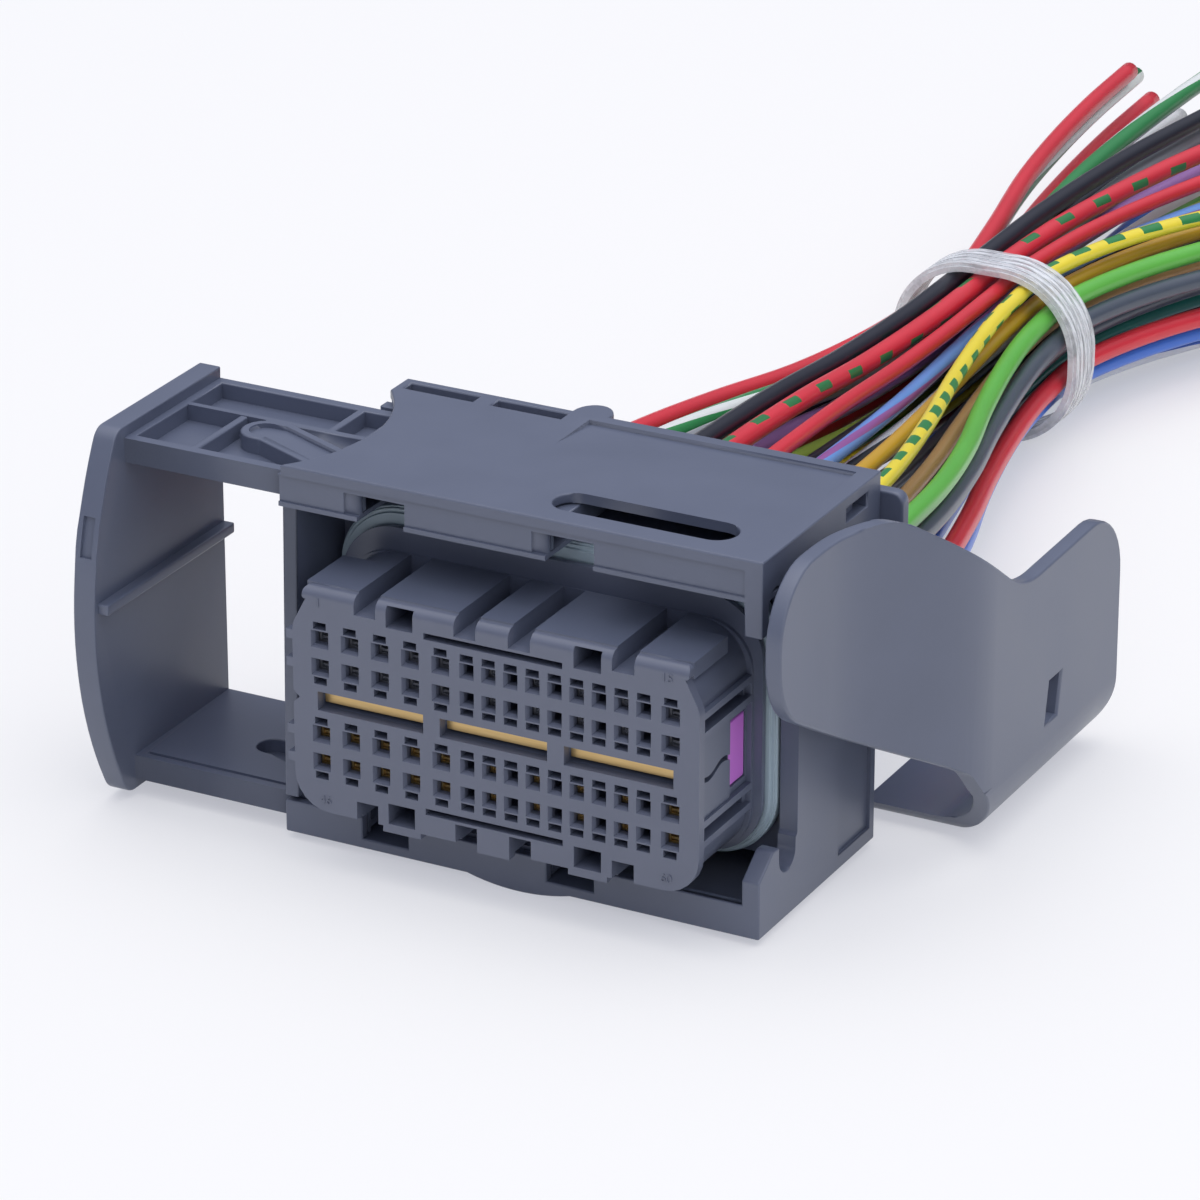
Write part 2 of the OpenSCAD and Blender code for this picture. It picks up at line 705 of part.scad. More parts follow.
module top_plate() {
    slot_w = 8.2;
    slot_d = 1.7;
    slot_web = 1;
    slot_x = [-22.4, -12];
    bump = [4.4, 2.7];
    bump_x = -5.7;
    window_y = shell_set + 5.2;
    difference() {
        span([shell_left, shell_set, top_plate_low], [shell_right, shell_rear, shell_top]);
        translate([shell_left + scallop_depth - scallop_r, shell_set + 11.4, top_plate_low - small])
            cylinder(r = scallop_r, h = plate_t + 2 * small, $fn = 96);
        translate([window_x, window_y, top_plate_low - small]) linear_extrude(plate_t + 2 * small)
            stroke([window_w / 2 - window_len / 2, 0], [window_len / 2 - window_w / 2, 0], window_w);
        for (x = slot_x)
            span([x - slot_w / 2, shell_rear - slot_web - slot_d, top_plate_low - small],
                [x + slot_w / 2, shell_rear - slot_web, shell_top + small]);
        panel_wedge();
    }
    translate([bump_x, shell_rear - small, top_plate_low]) linear_extrude(plate_t)
        polygon([for (a = [0:15:180]) [bump[0] / 2 * cos(a), bump[1] * sin(a)]]);
}

// Bar across the shell from z0 to z1, as far back as rear, with gaps for the cam pins as far back as gap_rear
module pin_bar(z0, z1, rear, gap_low, gap_high, gap_rear) {
    difference() {
        span([shell_left, shell_set, z0], [shell_right, rear, z1]);
        for (x = pin_x)
            span([x - pin_gap_w / 2, shell_set - small, gap_low], [x + pin_gap_w / 2, gap_rear, gap_high]);
    }
}

// Upper front lip: its lower half is set back, and more so beside each pin gap
module top_lip(low, rear) {
    step = 0.25;
    step_z = top_plate_low - 0.1;
    gap_high = top_plate_low - 0.7;
    recess = [1.65, 0.6];
    difference() {
        pin_bar(low, top_plate_low + small, rear, low - small, gap_high, rear + small);
        span([shell_left - small, shell_set - small, low - small],
            [shell_right + small, shell_set + step, step_z]);
        for (x = pin_x)
            span([x - pin_gap_w / 2 - recess[0], shell_set - small, low - small],
                [x, shell_set + recess[1], gap_high]);
    }
}

module right_wall() {
    finger_z = shell_top - 8.3;
    cut_low = shell_bottom + 8;
    cut_rear = shell_set + 8.6;
    slot_y = shell_set + 6.4;
    slot_low = shell_bottom + 7;
    slot_w = 3.6;
    window = [shell_rear - 8, shell_rear - 3.2];
    panel = [shell_rear - 8.7, shell_rear - 1.2];
    panel_low = shell_bottom + 1.6;
    panel_high = shell_bottom + 13.4;
    difference() {
        span([inner_right, shell_set, shell_bottom], [shell_right, shell_rear, shell_top]);
        across(inner_right - small, shell_right + small) {
            polygon(rounded([
                [shell_set - 1, finger_z],
                [shell_set + 1.6, finger_z],
                [shell_set + 1.6, shell_top - 3],
                [cut_rear, shell_top - 6],
                [cut_rear, cut_low],
                [shell_set + 3.2, cut_low + 0.6],
                [shell_set - 1, cut_low - 2.4],
            ], [0, 0.6, 1.5, 2, 0.6, 1, 0]));
            stroke([slot_y, slot_low], [slot_y, cut_low + 2], slot_w);
            translate([window[0], top_plate_low - 1.7]) square([window[1] - window[0], 1.5]);
        }
        span([shell_right - 0.4, panel[0], panel_low], [shell_right + small, panel[1], panel_high]);
    }
}

module outer_shell() color(colour_shell) {
    seat = 2 * seat_clear;
    foot_r = (foot_h * foot_h + foot_w * foot_w / 4) / (2 * foot_h);
    foot_len = shell_d - 6;
    left_lean = 0.9;
    rail_right = inner_right + wall_t / 2;
    top_lip_low = shell_top - top_lip_h;
    bottom_lip_high = shell_bottom + bottom_lip_h;
    lip_rear = shell_set + lip_t;
    ledge_low = inner_top - ledge_t;
    pin_rear = arm_front + track_entry + track_rise + track_w / 2;
    sleeve_front = seal_y + 0.3;
    top_plate();
    span([shell_left, shell_set, shell_bottom], [shell_right, shell_rear, bottom_plate_high]);
    // Front lips, and the inner plate that the upper arm slides on
    top_lip(top_lip_low, lip_rear);
    pin_bar(ledge_low, inner_top, ledge_rear + small, ledge_low - small, inner_top + small, pin_rear);
    pin_bar(bottom_plate_high - small, bottom_lip_high, lip_rear,
        bottom_plate_high, bottom_lip_high + small, lip_rear + small);
    right_wall();
    // Left wall between the arms, with a leaning front edge
    across(shell_left, inner_left) polygon([
        [shell_set, inner_bottom],
        [shell_rear, inner_bottom],
        [shell_rear, inner_top],
        [shell_set + left_lean, inner_top],
    ]);
    // Rails behind the arms, the lower one with a ledge over the arm's rear edge
    span([shell_left, ledge_rear, ledge_low], [rail_right, ledge_rear + rail_t, top_plate_low + small]);
    span([shell_left, ledge_rear, bottom_plate_high - small],
        [rail_right, ledge_rear + rail_t, inner_bottom + ledge_t]);
    span([shell_left, arm_rear - ledge_d, inner_bottom],
        [rail_right, ledge_rear + small, inner_bottom + ledge_t]);
    // Bulkhead that holds the block
    back(bulkhead_y, bulkhead_rear) difference() {
        translate([shell_left + small, inner_bottom])
            square([rail_right - shell_left - small, inner_top - inner_bottom]);
        round_rect(body_w + seat, body_h + seat, block_r + seat_clear);
    }
    // Sleeve that carries the seal
    back(sleeve_front, bulkhead_y + small) difference() {
        beyond(sleeve_t, sleeve_t, sleeve_low_t, block_r + sleeve_t);
        round_rect(body_w + seat, body_h + seat, block_r + seat_clear);
    }
    // Rounded foot under the plate
    intersection() {
        translate([0, shell_set, floor_z + foot_r]) rotate([-90, 0, 0])
            cylinder(r = foot_r, h = foot_len, $fn = 128);
        span([-foot_w / 2, shell_set, floor_z], [foot_w / 2, shell_set + foot_len, shell_bottom + small]);
    }
}

// Cam track in plan for a pin at x, from its mouth at the arm's front to just past the travel, grown by g
module cam_track(x, g = 0) {
    end = x - slide_travel - track_over - track_w / 2;
    inner = arm_front + track_entry;
    outer = inner + track_rise;
    half = track_w / 2 + g;
    line = [
        [x, arm_front - track_w],
        [x, inner],
        [x - track_flat, inner],
        [end + track_flat, outer],
        [end - g, outer],
    ];
    bend = 1;
    end_r = half - small;
    last = len(line) - 1;
    polygon(rounded(
        concat([for (k = [0:last]) side_point(line, k, half)],
            [for (k = [last:-1:0]) side_point(line, k, -half)]),
        [0, bend, bend, bend, end_r, end_r, bend, bend, bend, 0]));
}

// Blind pockets in plan: the arm's outer end less its walls, the webs and a wall round the cam track
module arm_pockets() {
    near = handle_inner + pocket_web;
    far = shell_left + scallop_depth - 2 * pocket_web;
    low = arm_front + 1.5 * pocket_web;
    high = arm_rear - 1.5 * pocket_web;
    web_y = arm_front + track_entry + track_rise + track_w / 2 + 0.6;
    web_x = pin_1_x - slide_travel - track_over - track_w - pocket_web;
    difference() {
        translate([near, low]) square([far - near, high - low]);
        cam_track(pin_1_x, pocket_web);
        translate([near - small, web_y]) square([far - near + 2 * small, pocket_web]);
        translate([web_x, low - small]) square([pocket_web, web_y - low]);
        translate([shell_left - 2 * pocket_web, web_y]) square([pocket_web, high - web_y + small]);
    }
}

// One arm from z0 up: blind cam tracks below, wide mouths, and above the pockets and one track's outline
module arm(z0) {
    mouth_d = 3.6;
    sink = 0.5;
    difference() {
        span([handle_inner - small, arm_front, z0], [handle_inner + arm_len, arm_rear, z0 + arm_h]);
        for (x = pin_x) {
            translate([0, 0, z0 - small]) linear_extrude(track_depth + small) cam_track(x);
            span([x - pin_gap_w / 2, arm_front - small, z0 - small],
                [x + pin_gap_w / 2, arm_front + mouth_d, z0 + arm_h + small]);
        }
        translate([0, 0, z0 + arm_h - sink]) linear_extrude(sink + small) cam_track(pin_1_x);
        translate([0, 0, z0 + arm_h - pocket_depth]) linear_extrude(pocket_depth + small) arm_pockets();
    }
}

module locking_slide() color(colour_shell) {
    half = shell_h / 2;
    front_r = (half * half + handle_bulge * handle_bulge) / (2 * handle_bulge);
    front_y = shell_set - handle_bulge;
    mark = [1.4, 0.8, 4.4];
    mark_up = 14;
    line = [0.5, 0.35];
    handle_mid = (handle_inner + handle_outer) / 2;
    rib_low = shell_mid + 2.4 - handle_rib / 2;
    rib_front = front_y + 0.8;
    handle_r = 2;
    edge_steps = 24;
    sweep = asin(half / front_r);
    edge = [for (k = [0:edge_steps]) let (a = sweep * (2 * k / edge_steps - 1))
        [front_y + front_r * (1 - cos(a)), shell_mid + front_r * sin(a)]];
    difference() {
        across(handle_outer, handle_inner) polygon(rounded(
            concat([[arm_rear, shell_bottom]], edge, [[arm_rear, shell_top]]),
            [0, handle_r, for (k = [2:edge_steps]) 0, handle_r, 0]));
        // Mark sunk into the upper front edge
        translate([handle_mid, front_y + front_r, shell_mid]) rotate([-mark_up, 0, 0])
            translate([0, -front_r, 0]) cube(mark, center = true);
    }
    arm(arm_top_low);
    // Lower arm, with a line along its front edge
    difference() {
        translate([0, 0, 2 * shell_mid]) mirror([0, 0, 1]) arm(arm_top_low);
        span([handle_inner + pocket_web, arm_front + 2 * line[0], arm_bottom_high - line[1]],
            [shell_left, arm_front + 3 * line[0], arm_bottom_high + small]);
    }
    // Stiffening rib across the inside of the handle
    across(handle_inner - small, handle_inner + handle_rib)
        translate([rib_front, rib_low]) square([arm_rear - rib_front, handle_rib]);
}

// Plan of the guide's outer face: straight beside the shell, then an even flare to the side
guide_outer = shell_right + guide_gap + guide_t;
flare_from = shell_rear - 22;
flare_to = shell_rear + 4;
guide_front = shell_set - guide_lead;
guide_end = shell_rear + guide_reach;
guide_steps = 24;
function ease(t) = t * t * t * (6 * t * t - 15 * t + 10);
function flare_at(y) = guide_flare * ease(max(0, min(1, (y - flare_from) / (flare_to - flare_from))));
guide_stations = [
    guide_front - 1,
    for (k = [0:guide_steps]) flare_from + (flare_to - flare_from) * k / guide_steps,
    guide_end + 1,
];

// Side outline of the guide: round cheek, sloping arm, upturned hook and the trough under it
module guide_outline() {
    hook = shell_mid + guide_hook_h;
    heel = [shell_rear - 1.5, floor_z + 11.2];
    toe_y = shell_rear + 7.3;
    polygon(rounded([
        [guide_front, shell_top],
        [shell_rear - guide_reach * 0.3, shell_top],
        [shell_rear + guide_valley, hook - 0.4],
        [guide_end, hook],
        [guide_end, floor_z],
        [toe_y, floor_z],
        heel,
        [guide_front, hook - 0.3],
    ], [for (share = [0.94, 1, 1.6, 1, 0.8, 0.4, 0.5, 1.1]) share * guide_round], 10));
}

// Section of the guide's trough: a quarter round under the wall, then a flat floor
module trough_section(wall_outer) {
    curl = guide_curl_r;
    translate([wall_outer - curl, floor_z + curl]) intersection() {
        difference() {
            circle(curl);
            circle(curl - guide_t);
        }
        translate([0, -curl]) square(curl);
    }
    translate([wall_outer - curl - guide_floor_w, floor_z]) square([guide_floor_w + small, guide_t]);
}

module cable_guide() color(colour_shell) {
    boss_d = 5;
    boss = [shell_set + 12, shell_mid + shell_h / 4];
    tab_t = 1.6;
    tab_w = 2.5;
    tab_top = shell_top - 2.2;
    tab_right = guide_outer - guide_t / 2 + flare_at(shell_rear);
    wall_outer = guide_outer + guide_flare;
    wall_low = floor_z + guide_curl_r;
    last = len(guide_stations) - 1;
    slot = [3.2, 4.6];
    slot_lean = 0.9;
    slot_at = [shell_rear + guide_reach * 0.452, floor_z + 9.7];
    difference() {
        intersection() {
            union() {
                translate([0, 0, wall_low]) linear_extrude(shell_top - wall_low) polygon(concat(
                    [for (y = guide_stations) [guide_outer + flare_at(y), y]],
                    [for (k = [last:-1:0])
                        [guide_outer - guide_t + flare_at(guide_stations[k]), guide_stations[k]]]));
                back(shell_rear, guide_end) trough_section(wall_outer);
            }
            across(inner_right - guide_floor_w, wall_outer + 1) guide_outline();
        }
        // Leaning tie slot in front of the hook
        across(shell_right, wall_outer + 1) translate(slot_at)
            polygon([[0, 0], [slot[0], 0], [slot[0] + slot_lean, slot[1]], [slot_lean, slot[1]]]);
    }
    // Boss that seats the cheek on the shell's right wall
    translate([shell_right, boss[0], boss[1]]) rotate([0, 90, 0])
        cylinder(d = boss_d, h = guide_gap + flare_at(boss[0]) + guide_t / 3);
    // Tab that hooks behind the shell's rear edge
    back(shell_rear, shell_rear + tab_t) polygon(rounded([
        [inner_right - 1, shell_mid - 4],
        [tab_right, shell_mid - 4],
        [tab_right, shell_mid + shell_h / 6],
        [shell_right + tab_w, shell_mid + shell_h / 4],
        [shell_right + tab_w, tab_top],
        [inner_right - 1, tab_top],
    ], [1, 0, 0, 1, tab_w / 2, 1]));
}

// Ring of the band between two shares of its thickness
module band_ring(from, to) {
    function side(half, share) = 2 * (half + band_d * share);
    difference() {
        round_rect(side(band_half_w, to), side(band_half_h, to), band_corner + band_d * to);
        round_rect(side(band_half_w, from), side(band_half_h, from), band_corner + band_d * from);
    }
}

// Clear band: turns side by side on a thin wrap round the bundle
module wire_band() color([0.86, 0.89, 0.92]) {
    half = band_turns * band_d / 2;
    turn_w = band_d * 0.7;
    translate([band_x, band_y, floor_z + band_half_h + band_d]) {
        back(-half, half) band_ring(0, 0.6);
        for (k = [0:band_turns - 1]) {
            y = (k + 0.5) * band_d - half;
            back(y - turn_w / 2, y + turn_w / 2) band_ring(0.3, 1);
        }
    }
}

// Tube along the points with its first ring facing back along Y
module tube(points, d) {
    n = len(points);
    function heading(k) = unit(points[min(k + 1, n - 1)] - points[max(k - 1, 0)]);
    function ring(k) =
        let (t = heading(k), u = unit(cross(t, [0, 0, 1])), v = cross(u, t))
        [for (a = [0:wire_sides - 1])
            points[k] + (u * cos(a * 360 / wire_sides) + v * sin(a * 360 / wire_sides)) * d / 2];
    polyhedron(
        points = [for (k = [0:n - 1]) each ring(k)],
        faces = concat(
            [[for (a = [0:wire_sides - 1]) a]],
            [for (k = [0:n - 2], a = [0:wire_sides - 1])
                let (b = (a + 1) % wire_sides, p = k * wire_sides, q = p + wire_sides)
                [p + a, q + a, q + b, p + b]],
            [[for (a = [wire_sides - 1:-1:0]) (n - 1) * wire_sides + a]]),
        convexity = 4);
}

module wire(i) color(colour_seal) {
    tube([for (s = route) wire_point(i, s)], wire_d(wire_col(i)));
}

outer_shell();
locking_slide();
front_grid();
contact_block();
secondary_lock();
interface_seal();
shorting_bar(-1);  // shorting_bar_left
shorting_bar(0);  // shorting_bar_middle
shorting_bar(1);  // shorting_bar_right
terminal_set(true);  // terminals_wide
terminal_set(false);  // terminals_narrow
wire_seal_mat();
rear_retainer();
cavity_plugs();
cable_guide();
wire_band();
for (i = [0:wire_count - 1])
    wire(i);
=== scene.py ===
"""Looks of a sealed engine control unit connector with its lock pulled out and a cut pigtail."""

from __future__ import annotations

import logging
import math
from dataclasses import dataclass
from enum import Enum
from typing import Any

import bmesh
import bpy
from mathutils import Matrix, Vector

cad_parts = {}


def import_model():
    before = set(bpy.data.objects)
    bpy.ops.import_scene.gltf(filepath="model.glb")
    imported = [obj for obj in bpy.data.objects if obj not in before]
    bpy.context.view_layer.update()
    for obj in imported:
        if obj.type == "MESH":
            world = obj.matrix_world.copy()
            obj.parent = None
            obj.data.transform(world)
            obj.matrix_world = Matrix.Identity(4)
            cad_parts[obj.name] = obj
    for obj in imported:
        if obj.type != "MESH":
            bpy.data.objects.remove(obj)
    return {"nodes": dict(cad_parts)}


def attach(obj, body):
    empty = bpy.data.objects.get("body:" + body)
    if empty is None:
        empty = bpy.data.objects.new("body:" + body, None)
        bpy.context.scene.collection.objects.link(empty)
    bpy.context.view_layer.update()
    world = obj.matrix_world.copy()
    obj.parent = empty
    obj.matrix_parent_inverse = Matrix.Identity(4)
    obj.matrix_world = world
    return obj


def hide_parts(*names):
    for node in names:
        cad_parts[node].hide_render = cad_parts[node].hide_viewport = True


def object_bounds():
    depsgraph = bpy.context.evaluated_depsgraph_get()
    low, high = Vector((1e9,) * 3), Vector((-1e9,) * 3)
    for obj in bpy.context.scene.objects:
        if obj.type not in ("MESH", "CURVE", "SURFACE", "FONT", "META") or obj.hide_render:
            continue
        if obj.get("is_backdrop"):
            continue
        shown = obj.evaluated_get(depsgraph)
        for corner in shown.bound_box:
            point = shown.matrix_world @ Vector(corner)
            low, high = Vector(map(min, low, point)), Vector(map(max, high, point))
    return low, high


LOG = logging.getLogger("connector")
MM = 0.001
ROOT, SLIDE, LOCK = "root", "slide", "lock"
WIRE_MAP = "wire_map"
# Sockets of a Mix node for colours
MIX_FIRST, MIX_SECOND, MIX_RESULT = 6, 7, 2


def linear(code: str) -> tuple[float, float, float, float]:
    """Turns an sRGB hex colour to linear red, green, blue and a full alpha.

    Args:
        code: colour such as "#4A4E5C".

    Returns:
        The linear colour that shader sockets take.
    """
    parts = [int(code[k : k + 2], 16) / 255 for k in (1, 3, 5)]
    curve = [c / 12.92 if c <= 0.04045 else ((c + 0.055) / 1.055) ** 2.4 for c in parts]
    return curve[0], curve[1], curve[2], 1.0


def per_mm(size_mm: float) -> float:
    """Gives the scale of a texture from the size of its pattern.

    Args:
        size_mm: about how far apart the pattern's marks are.

    Returns:
        The scale that a texture node takes.
    """
    return 1 / (size_mm * MM)


def add_node(tree: bpy.types.NodeTree, kind: str, inputs: dict[Any, Any], **settings: Any) -> bpy.types.Node:
    """Adds a shader node with its settings and links.

    Args:
        tree: the material's or world's node tree.
        kind: the node's type name.
        inputs: socket names or numbers, each with a value or with the output to link.
        settings: the node's own properties.

    Returns:
        The new node.
    """
    node = tree.nodes.new(kind)
    for name, value in settings.items():
        setattr(node, name, value)
    for name, value in inputs.items():
        if isinstance(value, bpy.types.NodeSocket):
            tree.links.new(value, node.inputs[name])
        else:
            node.inputs[name].default_value = value
    return node


class Finish:
    """A surface finish that makes its material once and hands it out again."""

    name: str

    def material(self) -> bpy.types.Material:
        """Returns the finish's material, made on first use."""
        known = bpy.data.materials.get(self.name)
        if known:
            return known
        made = bpy.data.materials.new(self.name)
        made.use_nodes = True
        made.node_tree.nodes.clear()
        shader = self.shade(made.node_tree)
        add_node(made.node_tree, "ShaderNodeOutputMaterial", {"Surface": shader.outputs[0]})
        return made

    def shade(self, tree: bpy.types.NodeTree) -> bpy.types.Node:
        """Builds the nodes of the finish.

        Args:
            tree: the material's node tree.

        Returns:
            The last shader.
        """
        raise NotImplementedError


@dataclass(frozen=True)
class MouldedPlastic(Finish):
    """Glass-filled nylon or acetal from a spark-eroded mould: satin, with fine grain and flow marks."""

    name: str
    colour: str
    pale: str
    roughness: float = 0.34
    sheen_spread: float = 0.04
    grain_mm: float = 0.35
    cloud_mm: float = 9.0
    grain_depth_mm: float = 0.012
    grain_strength: float = 0.35
    grain_detail: float = 2.0
    cloud_detail: float = 4.0
    cloud_span: tuple[float, float] = (0.2, 0.8)
    refraction: float = 1.54

    def shade(self, tree: bpy.types.NodeTree) -> bpy.types.Node:
        """Builds the nodes and returns the last shader."""
        place = add_node(tree, "ShaderNodeTexCoord", {}).outputs["Object"]
        cloud = add_node(
            tree,
            "ShaderNodeTexNoise",
            {"Vector": place, "Scale": per_mm(self.cloud_mm), "Detail": self.cloud_detail},
        )
        grain = add_node(
            tree,
            "ShaderNodeTexNoise",
            {"Vector": place, "Scale": per_mm(self.grain_mm), "Detail": self.grain_detail},
        )
        tone = add_node(
            tree,
            "ShaderNodeMix",
            {"Factor": cloud.outputs["Fac"], MIX_FIRST: linear(self.colour), MIX_SECOND: linear(self.pale)},
            data_type="RGBA",
        )
        gloss = add_node(
            tree,
            "ShaderNodeMapRange",
            {
                "Value": cloud.outputs["Fac"],
                "From Min": self.cloud_span[0],
                "From Max": self.cloud_span[1],
                "To Min": self.roughness - self.sheen_spread,
                "To Max": self.roughness + self.sheen_spread,
            },
            interpolation_type="SMOOTHSTEP",
        )
        relief = add_node(
            tree,
            "ShaderNodeBump",
            {
                "Height": grain.outputs["Fac"],
                "Strength": self.grain_strength,
                "Distance": self.grain_depth_mm * MM,
            },
        )
        return add_node(
            tree,
            "ShaderNodeBsdfPrincipled",
            {
                "Base Color": tone.outputs[MIX_RESULT],
                "Roughness": gloss.outputs["Result"],
                "IOR": self.refraction,
                "Normal": relief.outputs["Normal"],
            },
        )


@dataclass(frozen=True)
class SiliconeRubber(Finish):
    """Moulded liquid silicone: soft satin with a faint oily bloom."""

    name: str
    colour: str
    bloom: str
    bloom_mm: float = 3.0
    bloom_detail: float = 5.0
    roughness: float = 0.4
    refraction: float = 1.41

    def shade(self, tree: bpy.types.NodeTree) -> bpy.types.Node:
        """Builds the nodes and returns the last shader."""
        place = add_node(tree, "ShaderNodeTexCoord", {}).outputs["Object"]
        bloom = add_node(
            tree,
            "ShaderNodeTexNoise",
            {"Vector": place, "Scale": per_mm(self.bloom_mm), "Detail": self.bloom_detail},
        )
        tone = add_node(
            tree,
            "ShaderNodeMix",
            {"Factor": bloom.outputs["Fac"], MIX_FIRST: linear(self.colour), MIX_SECOND: linear(self.bloom)},
            data_type="RGBA",
        )
        return add_node(
            tree,
            "ShaderNodeBsdfPrincipled",
            {"Base Color": tone.outputs[MIX_RESULT], "Roughness": self.roughness, "IOR": self.refraction},
        )


@dataclass(frozen=True)
class StampedMetal(Finish):
    """Strip metal as it leaves the stamping tool: bright, with fine rolling lines along its length."""

    name: str
    colour: str
    worn: str
    line_mm: float = 0.25
    roughness: float = 0.34
    line_detail: float = 3.0
    line_depth_mm: float = 0.02
    line_strength: float = 0.3
    stretch: tuple[float, float, float] = (0.06, 1.0, 1.0)

    def shade(self, tree: bpy.types.NodeTree) -> bpy.types.Node:
        """Builds the nodes and returns the last shader."""
        place = add_node(tree, "ShaderNodeTexCoord", {}).outputs["Object"]
        drawn = add_node(tree, "ShaderNodeMapping", {"Vector": place, "Scale": self.stretch})
        lines = add_node(
            tree,
            "ShaderNodeTexNoise",
            {
                "Vector": drawn.outputs["Vector"],
                "Scale": per_mm(self.line_mm),
                "Detail": self.line_detail,
            },
        )
        tone = add_node(
            tree,
            "ShaderNodeMix",
            {"Factor": lines.outputs["Fac"], MIX_FIRST: linear(self.colour), MIX_SECOND: linear(self.worn)},
            data_type="RGBA",
        )
        relief = add_node(
            tree,
            "ShaderNodeBump",
            {
                "Height": lines.outputs["Fac"],
                "Strength": self.line_strength,
                "Distance": self.line_depth_mm * MM,
            },
        )
        return add_node(
            tree,
            "ShaderNodeBsdfPrincipled",
            {
                "Base Color": tone.outputs[MIX_RESULT],
                "Metallic": 1.0,
                "Roughness": self.roughness,
                "Normal": relief.outputs["Normal"],
            },
        )


@dataclass(frozen=True)
class StretchFilm(Finish):
    """Clear polyethylene film wound into a cord: milky at its folds, with long draw lines."""

    name: str = "polyethylene_stretch_film"
    colour: str = "#F2F4F8"
    fold_mm: float = 0.6
    clear: float = 0.4
    milky: float = 0.95
    fold_detail: float = 4.0
    fold_depth_mm: float = 0.3
    fold_strength: float = 0.8
    fold_span: tuple[float, float] = (0.4, 0.62)
    stretch: tuple[float, float, float] = (0.2, 1.0, 0.2)
    roughness: float = 0.28
    refraction: float = 1.5

    def shade(self, tree: bpy.types.NodeTree) -> bpy.types.Node:
        """Builds the nodes and returns the last shader."""
        place = add_node(tree, "ShaderNodeTexCoord", {}).outputs["Object"]
        drawn = add_node(tree, "ShaderNodeMapping", {"Vector": place, "Scale": self.stretch})
        folds = add_node(
            tree,
            "ShaderNodeTexNoise",
            {
                "Vector": drawn.outputs["Vector"],
                "Scale": per_mm(self.fold_mm),
                "Detail": self.fold_detail,
            },
        )
        cover = add_node(
            tree,
            "ShaderNodeMapRange",
            {
                "Value": folds.outputs["Fac"],
                "From Min": self.fold_span[0],
                "From Max": self.fold_span[1],
                "To Min": self.clear,
                "To Max": self.milky,
            },
        )
        relief = add_node(
            tree,
            "ShaderNodeBump",
            {
                "Height": folds.outputs["Fac"],
                "Strength": self.fold_strength,
                "Distance": self.fold_depth_mm * MM,
            },
        )
        return add_node(
            tree,
            "ShaderNodeBsdfPrincipled",
            {
                "Base Color": linear(self.colour),
                "Roughness": self.roughness,
                "IOR": self.refraction,
                "Alpha": cover.outputs["Result"],
                "Normal": relief.outputs["Normal"],
            },
        )


class Tracer(Enum):
    """How a wire's second colour runs along its insulation."""

    NONE = "none"
    LINE = "line"
    DASHES = "dashes"


